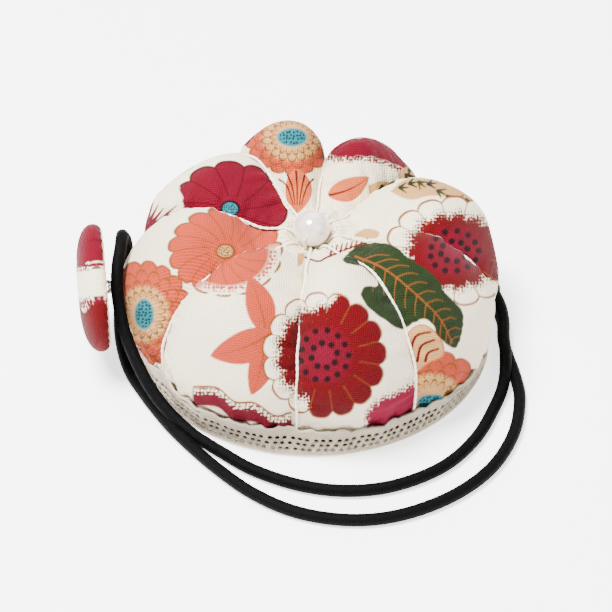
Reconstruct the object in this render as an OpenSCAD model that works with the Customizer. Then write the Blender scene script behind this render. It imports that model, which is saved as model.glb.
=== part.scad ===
// Wrist pin cushion: a stuffed cotton cushion drawn into eight lobes by floss,
// a pearl in the middle of the top, a lace band round the foot, a stiff base,
// a fabric-covered button sewn to the left side, and one elastic cord, doubled
// into a loop, sewn down on the right and hooked over the button's shank.

/* [Cushion] */
// Greatest diameter over the lobes
cushion_d = 75.2; // [60:0.1:95]
// Height of the tallest lobe above the table
cushion_h = 36.5; // [30:0.1:46]
// How far the floss draws the side in at a crease
crease_depth = 4; // [2:0.1:6]
// Height of the little seat under the pearl
seat_z = 23.7; // [20:0.1:28]
// Thickness of the printed cotton
cloth = 0.45; // [0.3:0.05:0.8]
// Directions of the eight creases, in degrees from +X
crease_angles = [-95, -57, -8, 48, 84, 119, 164, 213];
// How much lower than the tallest lobe each lobe is, from the first crease on
lobe_drop = [0, 3, 4.4, 3.6, 0.6, 4, 3.4, 0.6];
// How far each crease is eased out towards the lobes, as a share
crease_ease = [0.1, 0.5, 0.35, 0, 0, 0.4, 0.3, 0];
// How gently each lobe swells from its creases: a higher power is gentler
lobe_power = [0.62, 0.62, 0.75, 0.75, 0.62, 0.62, 0.8, 0.8];
// Thickness of the floss
floss_d = 0.7; // [0.4:0.05:1]

/* [Base] */
// Diameter of the stiff base disc
base_d = 68.4; // [54:0.1:88]
// Thickness of the stiff base disc
disc_t = 1.5; // [1:0.1:3]
// Thickness of the felt under the disc
felt_t = 1.2; // [0.8:0.1:3]

/* [Lace] */
// Height of the lace band
lace_h = 6.8; // [5:0.1:9]
// Thickness of the lace band
lace_t = 0.6; // [0.4:0.05:1]

/* [Pearl] */
// Diameter of the pearl
pearl_d = 7; // [5:0.1:9]
// Diameter of the thread that the pearl turns on
pearl_thread_d = 0.66; // [0.4:0.02:0.8]
// Radial clearance between the pearl's hole and its thread
pearl_fit = 0.05; // [0.02:0.01:0.1]

/* [Button] */
// Diameter of the covered button
button_d = 25; // [18:0.1:29]
// Thickness of the covered button, without its shank
button_t = 5.4; // [4.5:0.1:8]
// Direction in which the button faces, in degrees from +X
button_az = 187; // [180:1:194]
// Height of the button's middle above the table
button_z = 17.3; // [16:0.1:20]
// Gap between the cushion's side and the back of the button
button_gap = 3; // [2.9:0.1:4.5]
// Thickness of the shank's wire
wire_d = 0.8; // [0.6:0.05:1]
// Thickness of the fabric on the button
button_cloth = 0.4; // [0.3:0.05:0.6]

/* [Elastic] */
// Diameter of the elastic cord
cord_d = 2.4; // [1.8:0.1:2.8]
// Length of the thread binding round the cord's two ends
binding_l = 4; // [3:0.1:6]

/* [Hidden] */

cream = [0.95, 0.93, 0.88];
R = cushion_d / 2;
floss_r = floss_d / 2;
base_r = base_d / 2;
base_top = felt_t + disc_t;
foot_z = base_top + 0.2;           // underside of the cushion over the disc
groove_z = foot_z + floss_d + 0.2; // underside of the cushion in a crease
tie_r = 0.8;                       // bundle of floss through the middle
hole_r = tie_r + 0.4;              // hole in the cloth for that bundle
gather_r = 5;                      // gathered edge of the cloth underneath
lace_gap = 0.35;
lace_foot = 0.4;                   // the lace hangs this far above the table
lace_in_low = base_r + lace_gap;
lace_in_high = R - 1.45 + lace_gap;
creases = len(crease_angles);
steps = 10;                        // slices in each lobe

// Height of a point that is the share s of the way from the foot to the crown.
function rise(s, top) = foot_z + s * (top - foot_z);

// Section through the middle of a lobe, from under the foot to the pearl's seat.
function lobe_points(top) = [
    [gather_r, foot_z], [base_r - 9, foot_z], [base_r - 1.9, foot_z + 0.1],
    [R - 2.5, foot_z + 3.2], [R - 0.9, rise(0.21, top)], [R, rise(0.38, top)],
    [R - 1.5, rise(0.64, top)], [R - 6.8, rise(0.855, top)],
    [R - 13.5, rise(0.985, top)], [R - 20, top - 1.9], [R - 27, max(top - 6.2, seat_z + 1.9)],
    [5.6, seat_z + 3.2], [3.2, seat_z + 1.2], [hole_r, seat_z]];

// Section along a crease, with the same number of points.
function crease_points(top) = let (r = R - crease_depth) [
    [gather_r, groove_z], [base_r - 9, groove_z], [base_r - 2.6, groove_z + 0.1],
    [R - 3.9, foot_z + 3.2], [R - 3.7, rise(0.21, top)], [r, rise(0.36, top)],
    [r - 1.9, rise(0.5, top)], [r - 5.5, rise(0.64, top)],
    [r - 10.8, rise(0.73, top)], [r - 16.8, rise(0.75, top)],
    [r - 23, max(rise(0.725, top), seat_z + 0.5)], [5, seat_z + 2.2], [3.2, seat_z + 0.9],
    [hole_r, seat_z]];

// Smooth curve through a list of points, t running from 0 to 1.
function pass(a, b, c, d, u) = 0.5 * (2 * b + (c - a) * u
    + (2 * a - 5 * b + 4 * c - d) * u * u + (3 * b - a - 3 * c + d) * u * u * u);
function along(p, t) = let (m = len(p) - 1, s = min(t * m, m - 0.0001),
    i = floor(s)) pass(p[max(i - 1, 0)], p[i], p[i + 1], p[min(i + 2, m)], s - i);

// Where slice k of the cushion lies, and how far it is out of its crease.
function slice_lobe(k) = floor(k / steps) % creases;
function slice_share(k) = (k % steps) / steps;
function next_angle(i) = i == creases - 1 ? crease_angles[0] + 360
    : crease_angles[i + 1];
function slice_angle(k) = let (i = slice_lobe(k)) crease_angles[i]
    + slice_share(k) * (next_angle(i) - crease_angles[i]);
function fullness(u, power) = pow(sin(180 * u), power);
function lobe_top(i) = cushion_h - lobe_drop[i];
function crease_top(i) = cushion_h
    - (lobe_drop[i] + lobe_drop[(i + creases - 1) % creases]) / 2;
function fold(i, t) = let (e = crease_ease[i], q = crease_top(i))
    (1 - e) * along(crease_points(q), t) + e * along(lobe_points(q), t);
function section(k, t) = let (i = slice_lobe(k), u = slice_share(k),
    w = fullness(u, lobe_power[i]))
    w * along(lobe_points(lobe_top(i)), t)
    + (1 - w) * ((1 - u) * fold(i, t) + u * fold((i + 1) % creases, t));

// The same section, moved inwards by a distance.
function inward(k, t, by) = let (h = 0.012, a = section(k, max(t - h, 0)),
    b = section(k, min(t + h, 1)), d = b - a, n = max(norm(d), 0.001))
    section(k, t) + by * [-d[1], d[0]] / n;
function spin(p, a) = [p[0] * cos(a), p[0] * sin(a), p[1]];

// A closed solid from one closed loop of points for each slice.
module slices(loops) {
    n = len(loops);
    m = len(loops[0]);
    polyhedron(points = [for (l = loops) for (p = l) p],
        faces = [for (k = [0 : n - 1]) for (j = [0 : m - 1])
            let (a = k * m + j, b = k * m + (j + 1) % m,
                c = ((k + 1) % n) * m + (j + 1) % m, d = ((k + 1) % n) * m + j)
            each [[a, b, c], [a, c, d]]], convexity = 10);
}

// A tube of radius r along points, each with its own ring of sides.
function unit(v) = v / max(norm(v), 0.0001);
function heading(p, i) = unit(p[min(i + 1, len(p) - 1)] - p[max(i - 1, 0)]);
function side_of(p, i, up) = unit(cross(heading(p, i), up));
module tube(p, r, sides, up) {
    n = len(p);
    rings = [for (i = [0 : n - 1]) let (t = heading(p, i), s = side_of(p, i, up),
        v = cross(s, t)) for (q = [0 : sides - 1])
            p[i] + r * (cos(360 * q / sides) * s + sin(360 * q / sides) * v)];
    polyhedron(points = rings,
        faces = concat([[for (q = [sides - 1 : -1 : 0]) q]],
            [for (i = [0 : n - 2]) for (q = [0 : sides - 1])
                let (a = i * sides + q, b = i * sides + (q + 1) % sides)
                each [[a, b + sides, a + sides], [a, b, b + sides]]],
            [[for (q = [0 : sides - 1]) (n - 1) * sides + q]]),
        convexity = 10);
}

// Under the cushion

module base_felt() {
    color([0.93, 0.91, 0.86]) cylinder(r = base_r, h = felt_t, $fn = 96);
}

module base_disc() {
    color([0.86, 0.84, 0.78]) translate([0, 0, felt_t])
        cylinder(r = base_r, h = disc_t, $fn = 96);
}

module lace_band() {
    color([0.80, 0.76, 0.69]) rotate_extrude($fn = 96)
        polygon([[lace_in_low, lace_foot], [lace_in_low + lace_t, lace_foot],
            [lace_in_high + lace_t, lace_foot + lace_h],
            [lace_in_high, lace_foot + lace_h]]);
}

// Cushion

module cushion_cover() {
    color(cream) slices([for (k = [0 : creases * steps - 1])
        let (a = slice_angle(k)) concat(
            [for (j = [0 : 26]) spin(section(k, j / 26), a)],
            [for (j = [16 : -1 : 0]) spin(inward(k, j / 16, cloth), a)])]);
}

stuff_gap = 0.15;
stuff_low = groove_z + cloth + 0.65;
module stuffing() {
    color([0.97, 0.97, 0.96]) slices([for (k = [0 : creases * steps - 1])
        let (a = slice_angle(k)) concat(
            [for (j = [0 : 15]) let (t = 0.10 + 0.86 * j / 15,
                p = inward(k, t, cloth + stuff_gap + 0.5))
                spin([p[0], max(p[1], stuff_low)], a)],
            [spin([tie_r + 0.25, seat_z - 1.6], a),
                spin([tie_r + 0.25, stuff_low], a)])]);
}

// One turn of floss: out under the cushion, up its crease and over to the pearl.
// It rides higher where the crease is narrow, between the crown and the pearl.
function floss_lift(r) = floss_r + lookup(r, [[3.2, 0.08], [5, 0.62], [9, 0.9], [14, 1.05],
    [25, 0.55], [R, 0.45]]);
module floss_turn(i) {
    k = i * steps;
    out = [for (j = [2 : 26]) let (q = section(k, j / 27),
        p = inward(k, j / 27, -floss_lift(q[0])))
        [p[0], max(p[1], foot_z - 0.15 + floss_r)]];
    path = concat([[tie_r + 0.5, base_top + 0.05 + floss_r]],
        out, [[tie_r + floss_r + 0.1, seat_z + floss_r + 0.08]]);
    color([0.90, 0.87, 0.78]) tube([for (p = path) spin(p, crease_angles[i])],
        floss_r, 6, spin([0, 0], 0) + [-sin(crease_angles[i]), cos(crease_angles[i]), 0]);
}

module floss_turn_1() { floss_turn(0); }
module floss_turn_2() { floss_turn(1); }
module floss_turn_3() { floss_turn(2); }
module floss_turn_4() { floss_turn(3); }
module floss_turn_5() { floss_turn(4); }
module floss_turn_6() { floss_turn(5); }
module floss_turn_7() { floss_turn(6); }
module floss_turn_8() { floss_turn(7); }

module centre_tie() {
    color([0.90, 0.87, 0.78]) translate([0, 0, base_top + 0.05])
        cylinder(r = tie_r, h = seat_z + 0.3 - base_top, $fn = 32);
}

module gather_stitch() {
    color([0.92, 0.9, 0.84]) translate([0, 0, groove_z + 0.15])
        rotate_extrude($fn = 64) translate([gather_r - 0.45, 0])
            circle(r = 0.22, $fn = 16);
}

// Pearl and its thread; the hole lies level, across the middle of two lobes.
pearl_r = pearl_d / 2;
pearl_z = seat_z - 0.7 + 1.4 * pearl_r;
pearl_az = 66;
pearl_thread_r = pearl_thread_d / 2;
arc_r = pearl_r + pearl_thread_r + 0.1;

module at_pearl() {
    translate([0, 0, pearl_z]) rotate([0, 0, pearl_az]) children();
}

module pearl() {
    // Turned round its hole: an arc from one mouth of the hole to the other.
    bore = pearl_thread_r + pearl_fit;
    mouth = asin(bore / pearl_r);
    color([0.93, 0.89, 0.86]) at_pearl() rotate([0, 90, 0])
        rotate_extrude($fn = 64) polygon([for (j = [0 : 24])
            let (f = mouth + (180 - 2 * mouth) * j / 24)
            [pearl_r * sin(f), pearl_r * cos(f)]]);
}

module pearl_thread() {
    color([0.90, 0.87, 0.78]) at_pearl() {
        rotate([0, 90, 0]) cylinder(r = pearl_thread_r, h = 2 * arc_r + 0.5,
            center = true, $fn = 32);
        for (s = [0, 180]) rotate([0, 0, s]) rotate([90, 0, 0])
            rotate([0, 0, -48]) rotate_extrude(angle = 50, $fn = 64)
                translate([arc_r, 0]) circle(r = pearl_thread_r - 0.02, $fn = 16);
    }
}

// Button, drawn with its back on the plane z = 0 and its face towards +z.
button_r = button_d / 2;
rim = 1.7;                         // height of the widest part above the back
back_r = button_r - 3;
plate_t = 0.7;
shell_t = 0.5;
loop_r = 1.35;                     // mean radius of the wire's arch

module at_button() {
    rotate([0, 0, button_az]) translate([R + button_gap, 0, button_z])
        rotate([0, 90, 0]) children();
}

// Half outline of the domed button, made smaller by a distance.
function dome(by) = concat(
    [for (f = [0 : 9 : 90]) [(button_r - by) * pow(cos(f), 0.62) ,
        rim + (button_t - by - rim) * sin(f)]]);
function under(by) = [for (f = [90 : -15 : 15])
    [button_r - by - (rim - by) * (1 - cos(f)), rim - (rim - by) * sin(f)]];

module button_cover() {
    color([0.75, 0.10, 0.20]) at_button() rotate_extrude($fn = 96) polygon(concat(
        [[back_r, 0]], under(0), dome(0), [[0, button_t - button_cloth]],
        [for (f = [81 : -9 : 0]) [(button_r - button_cloth) * pow(cos(f), 0.62),
            rim + (button_t - button_cloth - rim) * sin(f)]],
        [for (f = [15 : 15 : 90]) [button_r - button_cloth
            - (rim - button_cloth) * (1 - cos(f)), rim - (rim - button_cloth) * sin(f)]],
        [[back_r, button_cloth]]));
}

shell_in = button_cloth + 0.05;
module button_shell() {
    color([0.78, 0.78, 0.80]) at_button() rotate_extrude($fn = 96) polygon(concat(
        [[button_r - shell_in - 0.25, rim]], [for (f = [9 : 9 : 90])
            [(button_r - shell_in - 0.1) * pow(cos(f), 0.62),
                rim + (button_t - shell_in - rim) * sin(f)]],
        [[0, button_t - shell_in - shell_t]],
        [for (f = [81 : -9 : 9]) [(button_r - shell_in - shell_t - 0.1) * pow(cos(f), 0.62),
            rim + (button_t - shell_in - shell_t - rim) * sin(f)]],
        [[button_r - shell_in - shell_t - 0.25, rim]]));
}

plate_z = button_cloth + 0.05;     // over the cloth's turned-in edge
plate_r = button_r - shell_in - shell_t - 0.8;
module button_back() {
    color([0.85, 0.85, 0.86]) at_button() translate([0, 0, plate_z])
        difference() {
            cylinder(r = plate_r, h = plate_t, $fn = 96);
            for (s = [-1, 1]) translate([s * loop_r, 0, -1])
                cylinder(r = wire_d / 2 + 0.02, h = plate_t + 2, $fn = 24);
        }
}

// Wire shank: an arch below the back, legs through the plate, feet inside.
module button_shank() {
    color([0.70, 0.70, 0.72]) at_button() {
        translate([0, 0, 0]) rotate([-90, 0, 0]) rotate_extrude(angle = 180, $fn = 48)
            translate([loop_r, 0]) circle(r = wire_d / 2, $fn = 24);
        for (s = [-1, 1]) translate([s * loop_r, 0, 0])
            cylinder(r = wire_d / 2, h = plate_z + plate_t + 0.05 + wire_d, $fn = 24);
        translate([-loop_r, 0, plate_z + plate_t + 0.05 + wire_d / 2])
            rotate([0, 90, 0]) cylinder(r = wire_d / 2 - 0.02, h = 2 * loop_r, $fn = 24);
    }
}

// Loop of sewing thread through the arch; it turns with the button.
stitch_r = 0.22;
stitch_ring = wire_d / 2 + stitch_r + 0.12;
module button_stitch() {
    color(cream) at_button() translate([0, 0, -loop_r]) rotate([0, 90, 0])
        rotate_extrude($fn = 32) translate([stitch_ring, 0])
            circle(r = stitch_r, $fn = 16);
}

// Knot of the same thread, drawn down on the cushion's side.
knot_top = button_gap - loop_r - stitch_ring - stitch_r - 0.3;
module button_knot() {
    color(cream) rotate([0, 0, button_az]) translate([R, 0, button_z])
        rotate([0, 90, 0]) translate([0, 0, -0.4])
            cylinder(r1 = 1.5, r2 = 0.8, h = max(knot_top + 0.4, 0.5), $fn = 24);
}

// Elastic cord, one length. Its first end is the upper one of the two bound
// ends on the right; it goes round the front on the table, up the left side
// beside the button, over the shank, down again and back outside itself.
cord_r = cord_d / 2;
ground = cord_r + 0.02;            // height of a strand lying on the table
end_y = 6;
end_x = R - 0.8 + cord_r;
end_turn = 14;                     // how far round the foot the ends are carried
function at_end(y, z) = [end_x * cos(end_turn) - y * sin(end_turn),
    end_x * sin(end_turn) + y * cos(end_turn), z];
upper = ground + cord_d + 0.1;     // height of the strand lying on another
cord_route = [
    at_end(end_y, upper), at_end(1, upper), at_end(-4, upper),
    [38.2, 0.5, upper], [38, -4, upper], [38.1, -9, 3.2], [37.6, -15, 1.9],
    [35.8, -21, ground], [31.5, -30.8, ground], [25, -38.8, ground],
    [16, -44, ground], [7, -45.6, ground], [-2, -44.2, ground],
    [-11, -40, ground], [-17.5, -34.8, ground], [-22, -30.8, ground],
    [-26, -27.2, 2.4], [-29.6, -23.8, 4.6], [-32.4, -20.6, 7.6],
    [-34.6, -17.2, 10.6], [-36.3, -14, 13.8], [-37.3, -11, 17],
    [-37.8, -8.4, 20], [-37.7, -5.6, 23], [-37.2, -2.4, 25],
    [-37.1, 1.2, 25], [-37.1, 4.4, 22.6], [-36.8, 7.4, 18.8],
    [-36.8, 8.6, 14.6], [-37.6, 7.4, 10.2], [-38.3, 3.4, 6.4],
    [-38.2, -1.8, 3.9], [-37.3, -7, 2.3], [-35.6, -12.4, 1.5],
    [-32.8, -18, ground], [-30.4, -22.4, ground], [-27, -28, ground],
    [-22.6, -34, ground], [-17.4, -40.2, ground], [-11.3, -46.2, ground],
    [-4, -50.9, ground], [4, -53.2, ground], [12, -53.2, ground],
    [20, -50.7, ground], [28, -45.7, ground], [34.5, -38.6, ground],
    [38.8, -29.4, ground], [40.4, -20, ground], [39.9, -13, ground],
    [38.8, -7, ground], [38.1, -2, ground], [38.2, 3, ground],
    at_end(-2, ground), at_end(2, ground), at_end(end_y, ground)];
cord_rings = 86;

module elastic_loop() {
    color([0.05, 0.05, 0.06]) tube([for (i = [0 : cord_rings - 1])
        let (p = along(cord_route, i / (cord_rings - 1)))
            [p.x, p.y, max(p.z, ground)]], cord_r, 8, [0.05, 0.1, 1]);
}

// Thread wound round the two ends, one above the other.
pair_low = ground;
pair_high = upper;
binding_t = 0.35;
module end_binding() {
    color([0.08, 0.08, 0.09]) rotate([0, 0, end_turn])
        translate([end_x, end_y - 0.5, 0]) rotate([90, 0, 0])
        linear_extrude(height = binding_l) difference() {
            union() {
                for (z = [pair_low, pair_high]) translate([0, z])
                    circle(r = cord_r + binding_t, $fn = 48);
                translate([-cord_r - binding_t, pair_low])
                    square([cord_d + 2 * binding_t, pair_high - pair_low]);
            }
            for (z = [pair_low, pair_high]) translate([0, z])
                circle(r = cord_r + 0.01, $fn = 48);
        }
}

// Three stitches of one thread, from the binding through the lace into the cushion.
stitch_in = lace_in_low - 3;
stitch_out = end_x - cord_r - binding_t;
module end_stitch() {
    color([0.08, 0.08, 0.09]) rotate([0, 0, end_turn])
        translate([stitch_in, end_y - 0.5 - binding_l / 2, foot_z + 0.9]) {
        for (s = [-1, 0, 1]) translate([0, s * 1.1, 0]) rotate([0, 90, 0])
            cylinder(r = 0.25, h = stitch_out - stitch_in, $fn = 16);
        rotate([90, 0, 0]) cylinder(r = 0.3, h = 3, center = true, $fn = 16);
    }
}

base_felt();
base_disc();
lace_band();
cushion_cover();
stuffing();
floss_turn_1();
floss_turn_2();
floss_turn_3();
floss_turn_4();
floss_turn_5();
floss_turn_6();
floss_turn_7();
floss_turn_8();
centre_tie();
gather_stitch();
pearl();
pearl_thread();
button_cover();
button_shell();
button_back();
button_shank();
button_stitch();
button_knot();
elastic_loop();
end_binding();
end_stitch();
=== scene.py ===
"""Looks of a wrist pin cushion: printed cotton cover drawn into eight lobes by floss,
pearl, lace foot, felt base, covered button and a black elastic loop."""

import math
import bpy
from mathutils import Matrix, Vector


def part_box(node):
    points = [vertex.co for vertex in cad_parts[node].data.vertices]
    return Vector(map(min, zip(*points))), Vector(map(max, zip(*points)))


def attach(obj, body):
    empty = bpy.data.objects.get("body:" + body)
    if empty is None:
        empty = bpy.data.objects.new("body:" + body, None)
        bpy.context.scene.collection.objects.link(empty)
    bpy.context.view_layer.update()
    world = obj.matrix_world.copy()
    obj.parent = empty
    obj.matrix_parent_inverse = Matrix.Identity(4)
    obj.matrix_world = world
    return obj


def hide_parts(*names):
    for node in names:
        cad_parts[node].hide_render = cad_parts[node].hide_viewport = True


bl_info = {
    "name": "Wrist Pin Cushion",
    "version": (1, 0, 0),
    "blender": (4, 5, 0),
    "location": "View3D > Sidebar > Pin Cushion",
    "description": "Builds the cloth, floss, pearl, lace, button and elastic of a cushion",
    "category": "Object",
}

import bmesh
import bpy
import numpy as np
from bpy.props import FloatProperty, FloatVectorProperty, IntProperty, PointerProperty

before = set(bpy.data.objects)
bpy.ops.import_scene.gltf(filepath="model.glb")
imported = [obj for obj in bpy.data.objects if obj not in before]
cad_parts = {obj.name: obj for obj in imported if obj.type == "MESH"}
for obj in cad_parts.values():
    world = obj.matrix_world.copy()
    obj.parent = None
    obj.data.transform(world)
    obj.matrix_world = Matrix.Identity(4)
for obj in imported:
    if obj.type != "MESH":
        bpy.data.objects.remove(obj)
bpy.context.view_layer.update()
MM = 0.001
TAU = 2 * math.pi
VIEW_TILT, VIEW_AWAY = math.radians(40), 0.6


# ---------------------------------------------------------------- settings

def size(name, text, default, low, high):
    return FloatProperty(name=name, description=text, default=default, min=low,
                         max=high, subtype="DISTANCE", unit="LENGTH", precision=4)


def tint(name, text, default):
    return FloatVectorProperty(name=name, description=text, default=default, size=3,
                               min=0.0, max=1.0, subtype="COLOR_GAMMA")


class CushionSettings(bpy.types.PropertyGroup):
    """Sizes of the stuffed cushion."""
    diameter: size("Diameter", "Greatest diameter over the lobes", 0.0752, 0.06, 0.095)
    height: size("Height", "Top of the tallest lobe above the table", 0.0365, 0.03, 0.046)
    draw_in: size("Draw in", "How far the floss draws the side in", 0.004, 0.002, 0.006)
    seat: size("Seat", "Height of the cloth under the pearl", 0.0237, 0.02, 0.028)
    base: size("Base", "Diameter of the stiff base", 0.0684, 0.054, 0.088)
    cloth: size("Cotton thickness", "Thickness of the printed cotton", 0.00045, 0.0003, 0.0008)
    floss: size("Floss thickness", "Thickness of one turn of floss", 0.0006, 0.0004, 0.0011)
    pearl: size("Pearl", "Diameter of the pearl", 0.007, 0.005, 0.009)
    slices: IntProperty(name="Slices", description="Slices of the cover round the pearl",
                        default=1320, min=160, max=1600)
    rows: IntProperty(name="Rows", description="Rows of the cover from foot to pearl",
                      default=290, min=60, max=400)


class TrimSettings(bpy.types.PropertyGroup):
    """Sizes of the lace, the button and the elastic."""
    lace_top: size("Lace top", "Height of the lace's upper edge", 0.0074, 0.005, 0.01)
    lace_pitch: size("Lace pitch", "Distance between the lace's holes", 0.0015, 0.001, 0.003)
    lace_hole: size("Lace hole", "Diameter of the lace's holes", 0.00118, 0.0004, 0.0012)
    lace_thickness: size("Lace thickness", "Thickness of the lace", 0.00045, 0.0003, 0.0008)
    button: size("Button", "Diameter of the covered button", 0.025, 0.018, 0.029)
    button_depth: size("Button depth", "Thickness of the covered button", 0.0054, 0.0045, 0.008)
    elastic: size("Elastic", "Diameter of the elastic cord", 0.0024, 0.0018, 0.0028)


class ColourSettings(bpy.types.PropertyGroup):
    """Colours of the cloth, the print and the trimmings, as seen on a screen."""
    ground: tint("Ground", "Unprinted cotton", (0.96, 0.90, 0.785))
    crimson: tint("Crimson", "Dark red of the poppies", (0.37, 0.006, 0.095))
    red: tint("Red", "Red of the daisies", (0.33, 0.004, 0.026))
    salmon: tint("Salmon", "Salmon of the petals and scales", (0.66, 0.24, 0.16))
    rose: tint("Rose", "Middle of the daisies", (0.39, 0.010, 0.12))
    brown: tint("Brown", "Outlines", (0.45, 0.24, 0.075))
    green: tint("Green", "Leaves", (0.112, 0.165, 0.068))
    teal: tint("Teal", "Flower centres", (0.10, 0.42, 0.47))
    beige: tint("Beige", "Buds and inner scales", (0.72, 0.54, 0.33))
    dots: tint("Dots", "Dark dots of the centres", (0.10, 0.015, 0.035))
    floss: tint("Floss", "Stranded cotton", (0.93, 0.90, 0.82))
    lace: tint("Lace", "Cotton lace", (0.70, 0.645, 0.56))
    felt: tint("Felt", "Felt under the base", (0.93, 0.91, 0.87))
    elastic: tint("Elastic", "Braided sleeve", (0.003, 0.003, 0.005))
    pearl: tint("Pearl", "Pearl lustre", (0.95, 0.905, 0.885))


def linear(colour):
    """Screen colour to the renderer's scale: the usual curve, tone by tone."""
    c = np.asarray(colour, float)
    return np.where(c <= 0.04045, c / 12.92, ((c + 0.055) / 1.055) ** 2.4)


def shades(group, name, alpha=True):
    c = linear(tuple(getattr(group, name)))
    return (*c, 1.0) if alpha else c


# ---------------------------------------------------------------- mesh helpers

def new_piece(name, points, quads, body, smooth=True):
    """A mesh object at the origin from points in metres and rows of four corners."""
    mesh = bpy.data.meshes.new(name)
    points = np.ascontiguousarray(points, dtype=np.float32).reshape(-1, 3)
    quads = np.ascontiguousarray(quads, dtype=np.int32).reshape(-1, 4)
    mesh.vertices.add(len(points))
    mesh.vertices.foreach_set("co", points.ravel())
    mesh.loops.add(quads.size)
    mesh.loops.foreach_set("vertex_index", quads.ravel())
    mesh.polygons.add(len(quads))
    mesh.polygons.foreach_set("loop_start", np.arange(0, quads.size, 4, dtype=np.int32))
    mesh.polygons.foreach_set("use_smooth", np.full(len(quads), smooth))
    mesh.update(calc_edges=True)
    piece = bpy.data.objects.new(name, mesh)
    bpy.context.scene.collection.objects.link(piece)
    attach(piece, body)
    return piece


def grid_quads(n, m, wrap_n=False, wrap_m=False, flip=False):
    """Corners of the quads of an n by m grid, joined round where it wraps."""
    i = np.arange(n if wrap_n else n - 1)[:, None]
    j = np.arange(m if wrap_m else m - 1)[None, :]
    i2, j2 = (i + 1) % n, (j + 1) % m
    q = np.stack(np.broadcast_arrays(i * m + j, i * m + j2, i2 * m + j2, i2 * m + j), -1)
    q = q.reshape(-1, 4)
    return q[:, ::-1] if flip else q


def set_uv(piece, name, uv):
    """A UV map from one pair of numbers for each vertex."""
    mesh = piece.data
    index = np.empty(len(mesh.loops), dtype=np.int32)
    mesh.loops.foreach_get("vertex_index", index)
    layer = mesh.uv_layers.new(name=name)
    layer.data.foreach_set("uv", np.asarray(uv, np.float32).reshape(-1, 2)[index].ravel())


def set_colour(piece, name, colour):
    """A colour for each vertex, read by the piece's material."""
    rgba = np.ones((len(colour), 4), np.float32)
    rgba[:, :3] = colour
    layer = piece.data.color_attributes.new(name=name, type="FLOAT_COLOR", domain="POINT")
    layer.data.foreach_set("color", rgba.ravel())


def along(points, t):
    """Smooth curve through points: each stretch is a cubic whose slope at a point is
    half the step between its neighbours; t runs from 0 to 1 over all of them."""
    p = np.asarray(points, float)
    last = len(p) - 1
    s = np.minimum(np.asarray(t) * last, last - 1e-4)
    i = s.astype(int)
    u = (s - i)[..., None]
    a, b = p[np.maximum(i - 1, 0)], p[i]
    c, d = p[i + 1], p[np.minimum(i + 2, last)]
    return 0.5 * (2 * b + (c - a) * u + (2 * a - 5 * b + 4 * c - d) * u * u
                  + (3 * b - a - 3 * c + d) * u ** 3)


def run_of(points):
    """Length run along a line of points, from 0 at its first."""
    return np.concatenate([[0], np.cumsum(np.linalg.norm(np.diff(points, axis=0), axis=1))])


def turned(x, y, a):
    """Flat places turned by an angle."""
    c, s = math.cos(a), math.sin(a)
    return x * c - y * s, x * s + y * c


def round_axis(r, z, a):
    """Places at radius r and height z, in directions a round the upright axis."""
    return np.stack([r * np.cos(a), r * np.sin(a), z + 0 * a], -1)


def sweep(path, radius, sides, shape=None, up=(0.05, 0.1, 1.0)):
    """Rings carried along a path: each ring lies square to the path, its radius
    multiplied by shape(ring, angle); returns points, the run of length and angles."""
    path = np.asarray(path, float)
    ahead = np.gradient(path, axis=0)
    ahead /= np.linalg.norm(ahead, axis=1)[:, None]
    side = np.cross(ahead, np.asarray(up, float))
    side /= np.linalg.norm(side, axis=1)[:, None]
    other = np.cross(side, ahead)
    run = run_of(path)
    angle = np.arange(sides) * TAU / sides
    r = radius * (np.ones((len(path), sides)) if shape is None else shape(run[:, None], angle))
    points = (path[:, None] + r[..., None] * (np.cos(angle)[None, :, None] * side[:, None]
              + np.sin(angle)[None, :, None] * other[:, None]))
    return points, run, angle


def capped(points, start, end):
    """Rings of a tube with one more at each end, drawn in to a point."""
    tip0 = np.repeat(np.asarray(start)[None, None], points.shape[1], 1)
    tip1 = np.repeat(np.asarray(end)[None, None], points.shape[1], 1)
    return np.concatenate([tip0, points, tip1], 0)


def tube_piece(name, path, radius, sides, shape, up=(0.05, 0.1, 1.0)):
    """A closed tube of the cushion's body along a path, with a map of its length and
    girth; returns the piece and its length in millimetres."""
    rings, run, angle = sweep(path, radius, sides, shape, up)
    points = capped(rings, path[0], path[-1]) * MM
    piece = new_piece(name, points, grid_quads(*points.shape[:2], wrap_m=True, flip=True),
                      "cushion")
    u = np.concatenate([[0], run, [run[-1]]])[:, None] + 0 * angle
    set_uv(piece, "run", np.stack([u, angle * radius + 0 * u], -1) * MM)
    return piece, float(run[-1])


def thicken(piece, thickness, offset):
    """Gives a single layer its thickness."""
    solid = piece.modifiers.new("thickness", "SOLIDIFY")
    solid.thickness, solid.offset = thickness, offset


def weld(piece, reach=1e-6):
    """Joins vertices that lie in one place and turns all faces outwards."""
    bm = bmesh.new()
    bm.from_mesh(piece.data)
    bmesh.ops.remove_doubles(bm, verts=bm.verts, dist=reach)
    bmesh.ops.dissolve_degenerate(bm, dist=1e-8, edges=bm.edges)
    bmesh.ops.recalc_face_normals(bm, faces=bm.faces)
    bm.to_mesh(piece.data)
    bm.free()


# ---------------------------------------------------------------- material helpers

def new_material(name):
    """A material with its shader, and short ways to add and join nodes."""
    mat = bpy.data.materials.new(name)
    mat.use_nodes = True
    tree = mat.node_tree
    shader = tree.nodes["Principled BSDF"]

    def add(kind, **values):
        node = tree.nodes.new(kind)
        for key, value in values.items():
            if hasattr(node, key):
                setattr(node, key, value)
            else:
                node.inputs[key.replace("_", " ")].default_value = value
        return node

    def join(a, out, b, into):
        tree.links.new(a.outputs[out], b.inputs[into])

    def set_value(**values):
        for key, value in values.items():
            shader.inputs[key.replace("_", " ")].default_value = value

    return mat, shader, add, join, set_value


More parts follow.
